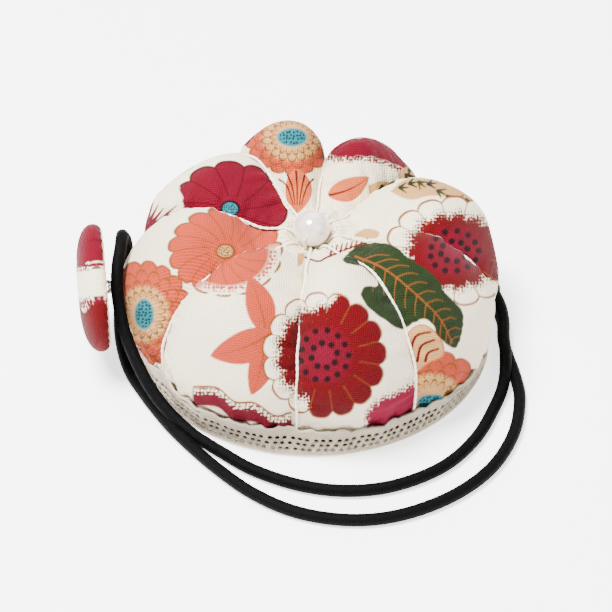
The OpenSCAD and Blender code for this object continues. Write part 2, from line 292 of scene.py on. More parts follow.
def bump_on(shader, add, join, height, socket, strength, distance):
    """Raises the surface by a value."""
    bump = add("ShaderNodeBump", Strength=strength, Distance=distance)
    join(height, socket, bump, "Height")
    join(bump, "Normal", shader, "Normal")


def ranged(add, join, source, socket, low, high, start=0.0, stop=1.0):
    """A value carried from the range start to stop to the range low to high."""
    node = add("ShaderNodeMapRange", From_Min=start, From_Max=stop, To_Min=low, To_Max=high)
    join(source, socket, node, "Value")
    return node


def tinted(shader, add, join, colour, factor, socket):
    """Base colour: a colour multiplied by a value; returns the node that multiplies."""
    mix = add("ShaderNodeVectorMath", operation="SCALE")
    mix.inputs[0].default_value = colour[:3]
    join(factor, socket, mix, "Scale")
    join(mix, "Vector", shader, "Base Color")
    return mix


def cloth_material(name, pitch, colour=(1, 1, 1), attribute=None, uv="weave", roughness=0.82,
                   sheen=0.02, depth=0.00012, spread=0.24):
    """Plain weave: two sets of bands at right angles in the cloth's own map, wandering a
    little, shade the colour and raise the surface; slow noise varies the tone."""
    mat, shader, add, join, set_value = new_material(name)
    coords = add("ShaderNodeUVMap", uv_map=uv)
    wander = add("ShaderNodeTexNoise", Scale=900.0, Detail=2.0)
    join(coords, "UV", wander, "Vector")
    shift = add("ShaderNodeVectorMath", operation="MULTIPLY_ADD")
    shift.inputs[1].default_value = (pitch * 0.5,) * 3
    join(wander, "Color", shift, 0)
    join(coords, "UV", shift, 2)
    bands = []
    for axis in ("X", "Y"):
        wave = add("ShaderNodeTexWave", wave_type="BANDS", bands_direction=axis,
                   wave_profile="SIN", Scale=1 / pitch / 3.18, Distortion=0.0)
        join(shift, "Vector", wave, "Vector")
        bands.append(wave)
    over = add("ShaderNodeMath", operation="MAXIMUM")
    join(bands[0], "Fac", over, 0)
    join(bands[1], "Fac", over, 1)
    fuzz = add("ShaderNodeTexNoise", Scale=2600.0, Detail=3.0)
    join(coords, "UV", fuzz, "Vector")
    both = add("ShaderNodeMath", operation="MULTIPLY_ADD")
    both.inputs[1].default_value = 0.5
    join(fuzz, "Fac", both, 0)
    join(over, "Value", both, 2)
    shade = ranged(add, join, both, "Value", 1.0 - spread, 1.0 + spread * 0.35, 0.2, 1.4)
    place = add("ShaderNodeTexCoord")
    slow = add("ShaderNodeTexNoise", Scale=90.0, Detail=3.0)
    join(place, "Object", slow, "Vector")
    tone = ranged(add, join, slow, "Fac", 0.95, 1.04)
    product = add("ShaderNodeMath", operation="MULTIPLY")
    join(shade, "Result", product, 0)
    join(tone, "Result", product, 1)
    mix = tinted(shader, add, join, colour, product, "Value")
    if attribute:
        paint = add("ShaderNodeAttribute", attribute_name=attribute)
        join(paint, "Color", mix, 0)
    rough = ranged(add, join, fuzz, "Fac", roughness - 0.06, roughness + 0.08)
    join(rough, "Result", shader, "Roughness")
    set_value(Sheen_Weight=sheen, Sheen_Roughness=0.45, Specular_IOR_Level=0.08)
    bump_on(shader, add, join, both, "Value", 0.75, depth)
    return mat


def strand_material(name, colour, scale, roughness=0.6, sheen=0.3, depth=0.00005, turns=1.0,
                    specular=0.35):
    """Twisted or braided strands: bands slanting across the length in the piece's own
    map raise and shade the surface, with fine noise over them."""
    mat, shader, add, join, set_value = new_material(name)
    coords = add("ShaderNodeUVMap", uv_map="run")
    one = add("ShaderNodeTexWave", wave_type="BANDS", bands_direction="DIAGONAL",
              Scale=scale, Distortion=0.6, Detail=1.0)
    join(coords, "UV", one, "Vector")
    turn = add("ShaderNodeMapping")
    turn.inputs["Scale"].default_value = (1.0, -turns, 1.0)
    join(coords, "UV", turn, "Vector")
    two = add("ShaderNodeTexWave", wave_type="BANDS", bands_direction="DIAGONAL",
              Scale=scale, Distortion=0.6, Detail=1.0)
    join(turn, "Vector", two, "Vector")
    most = add("ShaderNodeMath", operation="MAXIMUM")
    join(one, "Fac", most, 0)
    join(two, "Fac", most, 1)
    fuzz = add("ShaderNodeTexNoise", Scale=3000.0, Detail=3.0)
    place = add("ShaderNodeTexCoord")
    join(place, "Object", fuzz, "Vector")
    both = add("ShaderNodeMath", operation="MULTIPLY_ADD")
    both.inputs[1].default_value = 0.6
    join(fuzz, "Fac", both, 0)
    join(most, "Value", both, 2)
    shade = ranged(add, join, both, "Value", 0.72, 1.12, 0.0, 1.5)
    tinted(shader, add, join, colour, shade, "Result")
    set_value(Roughness=roughness, Sheen_Weight=sheen, Sheen_Roughness=0.4,
              Specular_IOR_Level=specular)
    bump_on(shader, add, join, both, "Value", 0.8, depth)
    return mat


def fibre_material(name, colour, scale, roughness=0.9, sheen=0.3, depth=0.0001, spread=0.12):
    """Felted or loose fibres: noise drawn out by a second noise, in tone and height."""
    mat, shader, add, join, set_value = new_material(name)
    place = add("ShaderNodeTexCoord")
    fine = add("ShaderNodeTexNoise", Scale=scale, Detail=6.0, Roughness=0.7, Distortion=1.5)
    join(place, "Object", fine, "Vector")
    slow = add("ShaderNodeTexNoise", Scale=scale / 12, Detail=2.0)
    join(place, "Object", slow, "Vector")
    both = add("ShaderNodeMath", operation="MULTIPLY_ADD")
    both.inputs[1].default_value = 0.5
    join(slow, "Fac", both, 0)
    join(fine, "Fac", both, 2)
    shade = ranged(add, join, both, "Value", 1 - spread, 1 + spread * 0.4, 0.4, 1.1)
    tinted(shader, add, join, colour, shade, "Result")
    set_value(Roughness=roughness, Sheen_Weight=sheen, Sheen_Roughness=0.5,
              Specular_IOR_Level=0.25)
    bump_on(shader, add, join, fine, "Fac", 0.7, depth)
    return mat


def metal_material(name, colour, roughness=0.3, scale=(40, 40, 900)):
    """Drawn or pressed metal: noise stretched one way varies gloss and height."""
    mat, shader, add, join, set_value = new_material(name)
    place = add("ShaderNodeTexCoord")
    turn = add("ShaderNodeMapping")
    turn.inputs["Scale"].default_value = scale
    join(place, "Object", turn, "Vector")
    grain = add("ShaderNodeTexNoise", Scale=8.0, Detail=4.0)
    join(turn, "Vector", grain, "Vector")
    rough = ranged(add, join, grain, "Fac", roughness - 0.08, roughness + 0.12)
    join(rough, "Result", shader, "Roughness")
    tone = ranged(add, join, grain, "Fac", 0.9, 1.05)
    tinted(shader, add, join, colour, tone, "Result")
    set_value(Metallic=1.0)
    bump_on(shader, add, join, grain, "Fac", 0.25, 0.00002)
    return mat


def finish_nodes(material, *names):
    """Gives CAD pieces their material."""
    for name in names:
        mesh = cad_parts[name].data
        if not mesh.materials:
            mesh.materials.append(material)
        for k in range(len(mesh.materials)):
            mesh.materials[k] = material


# ---------------------------------------------------------------- the cushion's form

# Directions of the creases in degrees; a lobe lies between a crease and the next one.
CREASES = np.array([-95.0, -57, -8, 48, 84, 119, 164, 213, 265])
# How much lower than the tallest each lobe stands, how far each crease is filled out
# towards a lobe's section, and the power that gives each lobe its shoulders.
LOWER = np.array([0, 3.0, 4.4, 3.6, 0.6, 4.0, 3.4, 0.6])
EASE = np.array([0.1, 0.5, 0.35, 0, 0, 0.4, 0.3, 0])
SHOULDER = np.array([0.62, 0.62, 0.75, 0.75, 0.62, 0.62, 0.8, 0.8])
LOBES = 8
# Heights of the cover's underside below a lobe and below a crease; radii of its hole
# under the pearl and of the gathered edge underneath.
FOOT, GROOVE, HOLE, GATHER = 2.9, 3.8, 1.2, 5.0
# Radius of the bundle of floss through the middle; height of the board's top.
TIE_R, BASE_TOP = 0.8, 2.7


def lobe_at(theta):
    """The number of the lobe in each direction."""
    return np.clip(np.searchsorted(CREASES, theta, side="right") - 1, 0, LOBES - 1)


def cushion_form(theta, t):
    """Section of the cushion in millimetres at directions theta (degrees): one profile
    for the middle of a lobe, one for a crease, mixed by a power of the sine of the way
    across the lobe; t runs from the gathered edge underneath to the pearl."""
    s = bpy.context.scene.cushion_settings
    R, TOP, SEAT = s.diameter / MM / 2, s.height / MM, s.seat / MM
    B, PULL = s.base / MM / 2, s.draw_in / MM

    def rise(share, top):
        return FOOT + share * (top - FOOT)

    def lobe(top):
        return [(GATHER, FOOT), (B - 9, FOOT), (B - 1.9, FOOT + 0.1), (R - 2.5, FOOT + 3.2),
                (R - 0.9, rise(0.21, top)), (R, rise(0.38, top)), (R - 1.5, rise(0.64, top)),
                (R - 6.8, rise(0.855, top)), (R - 13.5, rise(0.985, top)),
                (R - 20, top - 1.9), (R - 27, max(top - 6.2, SEAT + 1.9)), (5.6, SEAT + 3.2),
                (3.2, SEAT + 1.2), (HOLE, SEAT)]

    def crease(top):
        return [(GATHER, GROOVE), (B - 9, GROOVE), (B - 2.6, GROOVE + 0.1),
                (R - 3.9, FOOT + 3.2), (R - 3.7, rise(0.21, top)), (R - PULL, rise(0.36, top)),
                (R - PULL - 1.9, rise(0.50, top)), (R - PULL - 5.5, rise(0.64, top)),
                (R - PULL - 10.8, rise(0.73, top)), (R - PULL - 16.8, rise(0.75, top)),
                (R - PULL - 23, max(rise(0.725, top), SEAT + 0.5)), (5, SEAT + 2.2),
                (3.2, SEAT + 0.9), (HOLE, SEAT)]

    theta = (np.asarray(theta, float) - CREASES[0]) % 360 + CREASES[0]
    i = lobe_at(theta)
    u = (theta - CREASES[i]) / (CREASES[i + 1] - CREASES[i])
    full = np.sin(math.pi * np.clip(u, 0, 1)) ** SHOULDER[i]
    lobes = np.array([along(lobe(TOP - d), t) for d in LOWER])
    tops = TOP - (LOWER + np.roll(LOWER, 1)) / 2
    folds = np.array([(1 - e) * along(crease(q), t) + e * along(lobe(q), t)
                      for q, e in zip(tops, EASE)])
    fold = folds[i] * (1 - u)[:, None, None] + folds[(i + 1) % LOBES] * u[:, None, None]
    return full[:, None, None] * lobes[i] + (1 - full[:, None, None]) * fold


def spun(form, theta):
    """Turns sections (radius, height) round to their directions."""
    return round_axis(form[..., 0], form[..., 1], np.radians(theta)[:, None])


def surface_normals(p):
    """Outward direction at each point of a grid that wraps in its first parameter."""
    du = np.roll(p, -1, 0) - np.roll(p, 1, 0)
    dv = np.gradient(p, axis=1)
    n = np.cross(du, dv)
    return n / np.maximum(np.linalg.norm(n, axis=-1), 1e-9)[..., None]


def even_rows(count, low=0.0, high=1.0):
    """Values of t that step evenly along the cushion's middle profile."""
    t = np.linspace(low, high, 600)
    p = cushion_form(np.array([-76.0]), t)[0]
    run = run_of(p)
    return np.interp(np.linspace(0, run[-1], count), run, t)


def even_slices(count):
    """Directions round the pearl, a little closer together beside the creases."""
    out = []
    for a, b in zip(CREASES[:-1], CREASES[1:]):
        k = int(round(count * (b - a) / 360))
        j = np.arange(k) / k
        out.append(a + (b - a) * (j - 0.07 * np.sin(TAU * j)))
    return np.concatenate(out)


# ---------------------------------------------------------------- printing

def hashed(i, j, seed=0.0):
    """A steady number from 0 to 1 for each cell: the fraction of a large sine."""
    return np.modf(np.abs(np.sin(i * 127.1 + j * 311.7 + seed * 74.7) * 43758.5453))[0]


def soft(distance, edge=0.16):
    """1 inside, 0 outside, over a narrow edge, from a signed distance."""
    return np.clip(0.5 - distance / edge, 0, 1)


def band(value, low, high, edge):
    return np.clip((value - low) / edge, 0, 1) * np.clip((high - value) / edge, 0, 1)


def stipple(x, y, density, cell=0.78, seed=0.0):
    """Round dots, one to a cell and a little out of place, whose size follows density."""
    best = np.zeros_like(x)
    i0, j0 = np.floor(x / cell), np.floor(y / cell)
    for di in (-1, 0, 1):
        for dj in (-1, 0, 1):
            i, j = i0 + di, j0 + dj
            cx = (i + 0.25 + 0.5 * hashed(i, j, seed)) * cell
            cy = (j + 0.25 + 0.5 * hashed(i, j, seed + 3)) * cell
            r = cell * 0.66 * np.sqrt(np.clip(density, 0, 2.6))
            best = np.maximum(best, soft(np.hypot(x - cx, y - cy) - r, 0.14) * (density > 0.03))
    return best


def from_step(x, y, a, d):
    """Distance to the straight step d from a, and the share of it run at the nearest
    place."""
    s = np.clip(((x - a[0]) * d[0] + (y - a[1]) * d[1]) / max(d @ d, 1e-9), 0, 1)
    return np.hypot(x - a[0] - s * d[0], y - a[1] - s * d[1]), s


def stroke(x, y, points, width, taper=0.0):
    """Signed distance to a line through points, thinner to its end by taper."""
    p = np.asarray(points, float)
    best = np.full_like(x, 1e9)
    for k in range(len(p) - 1):
        far, s = from_step(x, y, p[k], p[k + 1] - p[k])
        w = width * (1 - taper * (k + s) / (len(p) - 1))
        best = np.minimum(best, far - w / 2)
    return best


def curve(points, count=24):
    """The smooth curve through a few points, as many short steps."""
    return along(points, np.linspace(0, 1, count))


def patch(x, y, points, wobble=0.0):
    """Signed distance to a closed smooth outline, negative inside."""
    p = along(list(points) + [points[0]], np.linspace(0, 1, 6 * len(points) + 1))[:-1]
    inside = np.zeros(x.shape, bool)
    best = np.full_like(x, 1e9)
    for k in range(len(p)):
        a, b = p[k], p[(k + 1) % len(p)]
        d = b - a
        best = np.minimum(best, from_step(x, y, a, d)[0])
        crosses = (a[1] > y) != (b[1] > y)
        at = a[0] + (y - a[1]) * d[0] / (d[1] if abs(d[1]) > 1e-9 else 1e-9)
        inside ^= crosses & (x < at)
    return np.where(inside, -best, best) + wobble * np.sin(2.3 * x + 1.7 * y) * np.cos(1.9 * y)


class Printed:
    """The cloth while it is printed: places, which way it faces, and its colours.

    Seen from the front and above, each point falls on a plate (x, y in millimetres);
    motifs on that side are laid on the plate, and the others on the cloth itself."""

    def __init__(self, points, normals, lobe, ground):
        away = VIEW_AWAY / MM
        c, s = math.cos(VIEW_TILT), math.sin(VIEW_TILT)
        depth = away + points[:, 1] * c - points[:, 2] * s
        self.x = points[:, 0] * away / depth
        self.y = (points[:, 1] * s + points[:, 2] * c) * away / depth
        eye = np.array([0, -c * away, s * away]) - points
        eye /= np.linalg.norm(eye, axis=1)[:, None]
        self.face = (normals * eye).sum(1)
        self.points, self.normals, self.lobe = points, normals, lobe
        self.colour = np.tile(np.asarray(ground, float), (len(points), 1))

    def plate(self, x, y, r, lobes):
        """Points within r of a place on the plate, on some lobes, from that place."""
        k = np.flatnonzero((np.abs(self.x - x) < r) & (np.abs(self.y - y) < r)
                           & (self.face > 0.0) & np.isin(self.lobe, lobes))
        return k, self.x[k], self.y[k]

    def around(self, angle, height, r, turn=0.0):
        """Points within r of a spot on the far side, on axes lying in the cloth there:
        the flat offset from the spot, stretched to the straight distance."""
        a = math.radians(angle)
        out = np.array([math.cos(a), math.sin(a), 0.0])
        flat = self.points[:, :2]
        ahead = flat / np.linalg.norm(flat, axis=1)[:, None]
        score = ((self.points[:, 2] - height) ** 2
                 + np.linalg.norm(ahead - out[:2], axis=1) ** 2 * 900
                 - 0.02 * np.hypot(*flat.T))
        at = int(np.argmin(score))
        centre, n = self.points[at], self.normals[at]
        up = np.array([0, 0, 1.0]) - n[2] * n
        up = up / np.linalg.norm(up) if np.linalg.norm(up) > 0.2 else -out
        right = np.cross(up, n)
        k = np.flatnonzero((np.linalg.norm(self.points - centre, axis=1) < r)
                           & (self.face < 0.10))
        d = self.points[k] - centre
        x, y = d @ right, d @ up
        grow = np.linalg.norm(d, axis=1) / np.maximum(np.hypot(x, y), 1e-6)
        return (k, *turned(x * grow, y * grow, -math.radians(turn)))

    def lay(self, k, mask, colour):
        """Lays a colour on some points, as strongly as the mask says."""
        m = np.clip(mask, 0, 1)[:, None]
        self.colour[k] += (np.asarray(colour) - self.colour[k]) * m


def daisy(cloth, k, x, y, size, ink, petals=14, phase=0.0, pale=(70, 260), ring=(0.21, 0.39),
          tips=0.66):
    """Red daisy: a scalloped circle of petals; between the pale angles its tips are
    white, stippled red and outlined; two rings of dark dots round a rosy middle."""
    rx, ry = size
    rho, phi = np.hypot(x / rx, y / ry), np.arctan2(y / ry, x / rx)
    wave = np.abs(np.sin(petals * (phi - phase) / 2))
    edge = 1 - 0.10 * (1 - wave) ** 1.6
    scale = min(rx, ry)
    inside = soft((rho - edge) * scale, 0.2)
    cloth.lay(k, inside, ink["red"])
    seam = (rho > 0.5) * soft(np.abs(wave * rho * scale / petals * 2) - 0.10, 0.2)
    cloth.lay(k, inside * seam * 0.7 * (rho > 0.56), ink["brown"])
    turn = (np.degrees(phi) - pale[0]) % 360
    span = (pale[1] - pale[0]) % 360
    side = np.clip(turn / 14, 0, 1) * np.clip((span - turn) / 14, 0, 1) * (turn < span)
    start = tips - 0.08 + 0.03 * np.sin(petals * (phi - phase)) + 0.34 * (1 - side)
    fade = np.clip((rho - start) / 0.36, 0, 1)
    tip = (rho > start) * inside * (side > 0.02)
    cloth.lay(k, tip, ink["ground"])
    cloth.lay(k, tip * stipple(x, y, 2.6 * (1 - fade) ** 2.4, 0.62), ink["red"])
    line = soft(np.abs(rho - edge) * scale - 0.22, 0.18) * np.maximum(side > 0.1, 0.6)
    cloth.lay(k, line, ink["brown"])
    cloth.lay(k, tip * (rho > tips + 0.04) * seam * 0.9, ink["brown"])
    cloth.lay(k, soft((rho - 0.44) * scale, 1.6) * 0.55, ink["rose"])
    cloth.lay(k, soft((rho - 0.165) * scale, 0.5) * 0.9, ink["rose"])
    for share, number, r, off in ((ring[0], 8, 0.62, 0.2), (ring[1], 13, 0.60, 0.0)):
        a = off + np.arange(number) * TAU / number
        for q, c in enumerate(a):
            d = share * (1 + 0.05 * math.sin(5.0 * q + off))
            cloth.lay(k, soft(np.hypot(x - rx * d * math.cos(c), y - ry * d * math.sin(c)) - r,
                              0.2), ink["dots"])


def poppy(cloth, k, x, y, size, ink, petals=11, phase=0.3, colour="crimson", rim="dark_red",
          eye="teal", eye_size=1.5, swirl=0.0, depth=0.09):
    """Large flower: a scalloped disc with faint curved petal lines and a dotted eye."""
    rx, ry = size
    rho, phi = np.hypot(x / rx, y / ry), np.arctan2(y / ry, x / rx)
    bent = phi - swirl * rho
    wave = np.abs(np.sin(petals * (bent - phase) / 2))
    edge = 1 - depth * (1 - wave) ** 1.6
    scale = min(rx, ry)
    inside = soft((rho - edge) * scale, 0.2)
    cloth.lay(k, inside, ink[colour])
    seam = soft(wave * rho * scale / petals * 2 - 0.10, 0.16) * (rho > 0.26)
    cloth.lay(k, inside * seam * 0.85, ink[rim])
    cloth.lay(k, soft(np.abs(rho - edge) * scale - 0.2, 0.2), ink[rim])
    eye_rho = np.hypot(x, y * rx / ry) / eye_size
    cloth.lay(k, soft((eye_rho - 1.35) * eye_size, 0.3), ink["dots" if eye == "teal" else "brown"])
    cloth.lay(k, soft((eye_rho - 1) * eye_size, 0.2), ink[eye])
    cloth.lay(k, (eye_rho < 0.9) * stipple(x, y, 0.22 + 0 * x, 0.5, 5), ink["dots"])


def mum(cloth, k, x, y, size, ink, eye=(2.0, 2.0), inner=0.5, rows=4, petals=16, phase=0.0):
    """Ball flower: rows of overlapping scales like roof tiles round a dotted eye, the
    inner rows beige and the outer ones salmon, each scale with a brown edge."""
    rx, ry = size
    rho, phi = np.hypot(x / rx, y / ry), np.arctan2(y / ry, x / rx) + phase
    start = max(eye[0] / rx, eye[1] / ry) * 0.9
    step = (1 - start) / rows
    scale = min(rx, ry)
    edge = 1 - 0.07 * (1 - np.abs(np.sin(petals * phi / 2 + (rows % 2) * math.pi / 2))) ** 1.5
    inside = soft((rho - edge) * scale, 0.2)
    cloth.lay(k, inside, ink["salmon"])
    cloth.lay(k, soft((rho - inner) * scale, 1.0), ink["beige"])
    for row in range(rows, 0, -1):
        outer = start + step * row
        a = petals * phi / TAU + (row % 2) * 0.5
        a = a - np.floor(a) - 0.5
        tip = outer - step * 0.75 * (2 * np.abs(a)) ** 2.2
        cloth.lay(k, inside * soft(np.abs(rho - tip) * scale - 0.21, 0.18), ink["brown"])
    for row in range(rows):
        a = petals * phi / TAU + ((row + 1) % 2) * 0.5
        a = np.abs(a - np.floor(a) - 0.5)
        b = (rho - start - step * row) / step
        cloth.lay(k, inside * soft(a * scale * rho * 5 / petals - 0.05, 0.12)
                  * (b > 0.35) * (b < 0.8) * 0.5, ink["red"])
    r = np.hypot(x / eye[0], y / eye[1])
    cloth.lay(k, soft((r - 1) * min(eye), 0.3), ink["teal"])
    cloth.lay(k, (r < 0.85) * stipple(x, y, 0.25 + 0 * x, 0.7, 1), ink["dark_green"])


def leaf(cloth, k, x, y, start, end, width, colour, rib, bend=0.0, veins=0, rib_width=0.32):
    """Leaf from start to end: half its width follows a power of the sine of the way
    along, about a bowed rib, with slanting veins."""
    a, b = np.asarray(start, float), np.asarray(end, float)
    length = np.linalg.norm(b - a)
    d = (b - a) / length
    s = ((x - a[0]) * d[0] + (y - a[1]) * d[1]) / length
    off = (y - a[1]) * d[0] - (x - a[0]) * d[1] - bend * np.sin(math.pi * np.clip(s, 0, 1))
    half = width / 2 * np.sin(math.pi * np.clip(s, 0, 1) ** 0.85) ** 0.75
    inside = soft(np.abs(off) - half, 0.22) * (s > 0) * (s < 1)
    cloth.lay(k, inside, colour)
    if rib is not None:
        middle = soft(np.abs(off) - rib_width / 2 * (1.1 - s), 0.16)
        cloth.lay(k, middle * (s > 0) * (s < 0.9), rib)
        for q in range(veins):
            at = 0.15 + 0.7 * q / max(veins - 1, 1)
            v = np.abs(s * length - at * length - np.abs(off) * 0.8)
            cloth.lay(k, inside * soft(v - 0.10, 0.14) * (np.abs(off) < half * 0.8), rib)


def inks(c):
    """The print's colours on the renderer's scale."""
    ink = {n: shades(c, n, False)
           for n in ("ground", "crimson", "red", "salmon", "rose", "brown", "green", "teal",
                     "beige", "dots")}
    ink["dark_red"] = ink["red"] * 0.5
    ink["dark_green"] = ink["green"] * 0.5
    ink["orange"] = linear((0.72, 0.35, 0.19))
    ink["magenta"] = linear((0.48, 0.012, 0.17))
    return ink


def print_front(cloth, ink):
    """Motifs on the side that faces the front, from the back lobes forward."""
    c = cloth

    def blot(points, name, edge=0.3, wobble=0.0):
        """Prints a smooth closed shape on the part of the plate in hand."""
        c.lay(k, soft(patch(x, y, points, wobble), edge), ink[name])

    def line(points, width, name, taper=0.0):
        """Prints a line through points."""
        c.lay(k, soft(stroke(x, y, points, width, taper)), ink[name])

    def blade(start, end, width, name, rib=None, **shape):
        """Prints a leaf."""
        leaf(c, k, x, y, start, end, width, ink[name], None if rib is None else ink[rib],
             **shape)

    # Two ball flowers, at the back and at the left.
    k, x, y = c.plate(-4, 39, 13, [4])
    mum(c, k, x + 4.0, y - 40.2, (9.6, 7.6), ink, eye=(3.0, 1.8), inner=0.62, rows=4, petals=18)
    blade((-17.2, 36.0), (-13.6, 41.2), 2.6, "green")
    k, x, y = c.plate(-4, 29, 10, [4])
    blade((-3.0, 34.0), (-3.6, 24.6), 5.4, "orange", bend=0.6)
    for q in range(5):
        line(curve([(-6.6 + q * 1.7, 33.4 - abs(q - 2) * 0.8), (-5.0 + q * 1.0, 30.4),
                    (-3.8 + q * 0.4, 26.8)]), 0.45, "red", 0.6)
    # Crimson cap and orange leaf, back right.
    k, x, y = c.plate(12, 32, 18, [3])
    cap = patch(x, y, [(3.2, 36.5), (6, 39.5), (13, 40.0), (19, 38.0), (23, 34.0),
                       (19, 33.6), (15, 35.4), (10.5, 36.4), (6.8, 36.2)], 0.15)
    c.lay(k, soft(cap, 0.3), ink["crimson"])
    c.lay(k, stipple(x, y, 0.9 - cap / 1.5, 0.6) * (cap > 0) * (cap < 1.4), ink["crimson"])
    blade((3.2, 28.6), (11.4, 32.2), 4.6, "orange", "red", bend=-0.6, rib_width=0.45)
    blot([(11.2, 30.6), (14, 31.4), (17, 30.6), (15.6, 27.8), (12, 27.8)], "beige")
    line([(12.6, 28.6), (14.0, 30.6), (15.8, 29.2)], 0.4, "green")
    line([(14.0, 30.4), (14.2, 28.2)], 0.4, "green")
    blot([(17.2, 33.2), (20.6, 34.6), (23.5, 31.5), (21, 29.5), (18, 30.0)], "beige")
    for start, end in (((18.2, 31.0), (20.4, 34.6)), ((18.8, 32.6), (21.2, 32.0)),
                       ((19.4, 33.6), (21.6, 34.0)), ((19.2, 31.4), (21.2, 30.4))):
        line([start, end], 0.7, "dark_green", 0.5)
    # Right: beige shoulder with sprigs, then the second daisy.
    k, x, y = c.plate(26, 22, 19, [2, 1])
    blot([(15.6, 29.4), (19, 32.0), (25, 32.2), (31, 29.5), (35.5, 24), (33, 24.0),
          (29, 27.6), (24, 28.6), (19.5, 27.8)], "beige", 0.4)
    for q in range(9):
        px, py = 17.5 + 1.9 * q, 30.2 + 1.1 * math.sin(0.8 * q) - 0.035 * q * q * (q > 3)
        for turn in (-0.7, 0.0, 0.7):
            a = turn + 0.5 * math.sin(2.4 * q) - 0.1 * q
            line([(px, py), (px + 1.7 * math.cos(a), py + 1.5 * math.sin(a))], 0.62,
                 "dark_green" if q % 2 else "green", 0.6)
    daisy(c, k, x - 28.4, y - 17.6, (13.8, 10.8), ink, petals=15, phase=0.1, pale=(30, 325),
          ring=(0.19, 0.36), tips=0.58)
    # Crimson poppy with its pale streaked petal, left back.
    k, x, y = c.plate(-20, 26, 20, [5])
    poppy(c, k, x + 16.4, y - 26.0, (11.4, 9.4), ink, petals=11, phase=0.5, swirl=0.25)
    blot([(-36, 25), (-32.5, 31.0), (-28.0, 32.6), (-26.0, 28.0), (-26.6, 22.8),
          (-30, 21.5), (-35, 20.0)], "ground", wobble=0.2)
    for q in range(12):
        a = math.radians(-22 + 10.5 * q)
        far = 7.6 + 1.6 * math.sin(2.3 * q)
        line([(-34.0, 20.6), (-34.0 + far * math.cos(a), 20.6 + far * math.sin(a))], 1.3,
             "crimson", 0.85)
    blot([(-38, 17.5), (-31.5, 19.5), (-31.0, 22.5), (-33.5, 25), (-38, 25)], "crimson", 0.5,
         0.3)
    k, x, y = c.plate(-30, 33, 9, [5])
    blot([(-31, 28.4), (-28.4, 32.8), (-24, 35.6), (-26, 36.6), (-33, 33)], "salmon")
    # Salmon flower, left.
    k, x, y = c.plate(-18, 17, 15, [6, 7])
    poppy(c, k, x + 17.4, y - 17.6, (11.4, 8.8), ink, petals=15, phase=0.2, colour="salmon",
          rim="brown", eye="beige", eye_size=1.5, swirl=0.5, depth=0.10)
    dx, dy = (x + 17.4) / 11.4, (y - 17.6) / 8.8
    rho, phi = np.hypot(dx, dy), np.degrees(np.arctan2(dy, dx))
    tip = np.clip((rho - 0.74) / 0.05, 0, 1) * (rho < 0.97) * band(phi, -125, 12, 12)
    c.lay(k, tip * 0.9, ink["ground"])
    c.lay(k, tip * stipple(x, y, 0.9 - (rho - 0.74) / 0.22), ink["salmon"])
    k, x, y = c.plate(-33, 6, 16, [6])
    mum(c, k, x + 33.6, y - 5.0, (9.6, 10.8), ink, eye=(1.9, 3.1), inner=0.52, rows=4, petals=17,
        phase=0.2)
    blot([(-25.4, 3.0), (-22.6, 1.2), (-24.8, -1.6)], "salmon", 0.2)
    # Front left: sprig of three leaves and a frill.
    k, x, y = c.plate(-14, 0, 22, [7])
    for start, end, width, bend in (((-9.2, 1.4), (-12.6, 12.8), 5.8, -0.4),
                                    ((-8.0, 1.6), (-20.4, -3.2), 6.6, 0.8),
                                    ((-9.6, -0.6), (-12.2, -11.0), 5.0, 0.5)):
        blade(start, end, width, "salmon", "brown", bend=bend)
    top = curve([(-23.6, -9.4), (-19, -9.6), (-15.5, -12.4), (-11.5, -12.6), (-7.5, -15.2),
                 (-4.8, -14.6)])
    low = np.interp(x, top[:, 0], top[:, 1])
    frill = (np.clip((low - y) / 0.3, 0, 1) * band(x, -24.2, -3.8, 0.5)
             * np.clip((y - low + 4.2) / 0.5, 0, 1))
    c.lay(k, frill, ink["crimson"])
    c.lay(k, frill * stipple(x, y, 0.55 - np.abs(y - low + 0.7) / 2.0, 0.7), ink["ground"])
    c.lay(k, soft(np.abs(y - low) - 0.2) * band(x, -24, -4, 0.3), ink["brown"])
    # First daisy over the front crease.
    k, x, y = c.plate(2.2, -3.5, 15.5, [7, 0])
    daisy(c, k, x - 2.4, y + 3.0, (12.4, 12.6), ink, petals=15, phase=0.25, pale=(72, 262),
          ring=(0.205, 0.39))
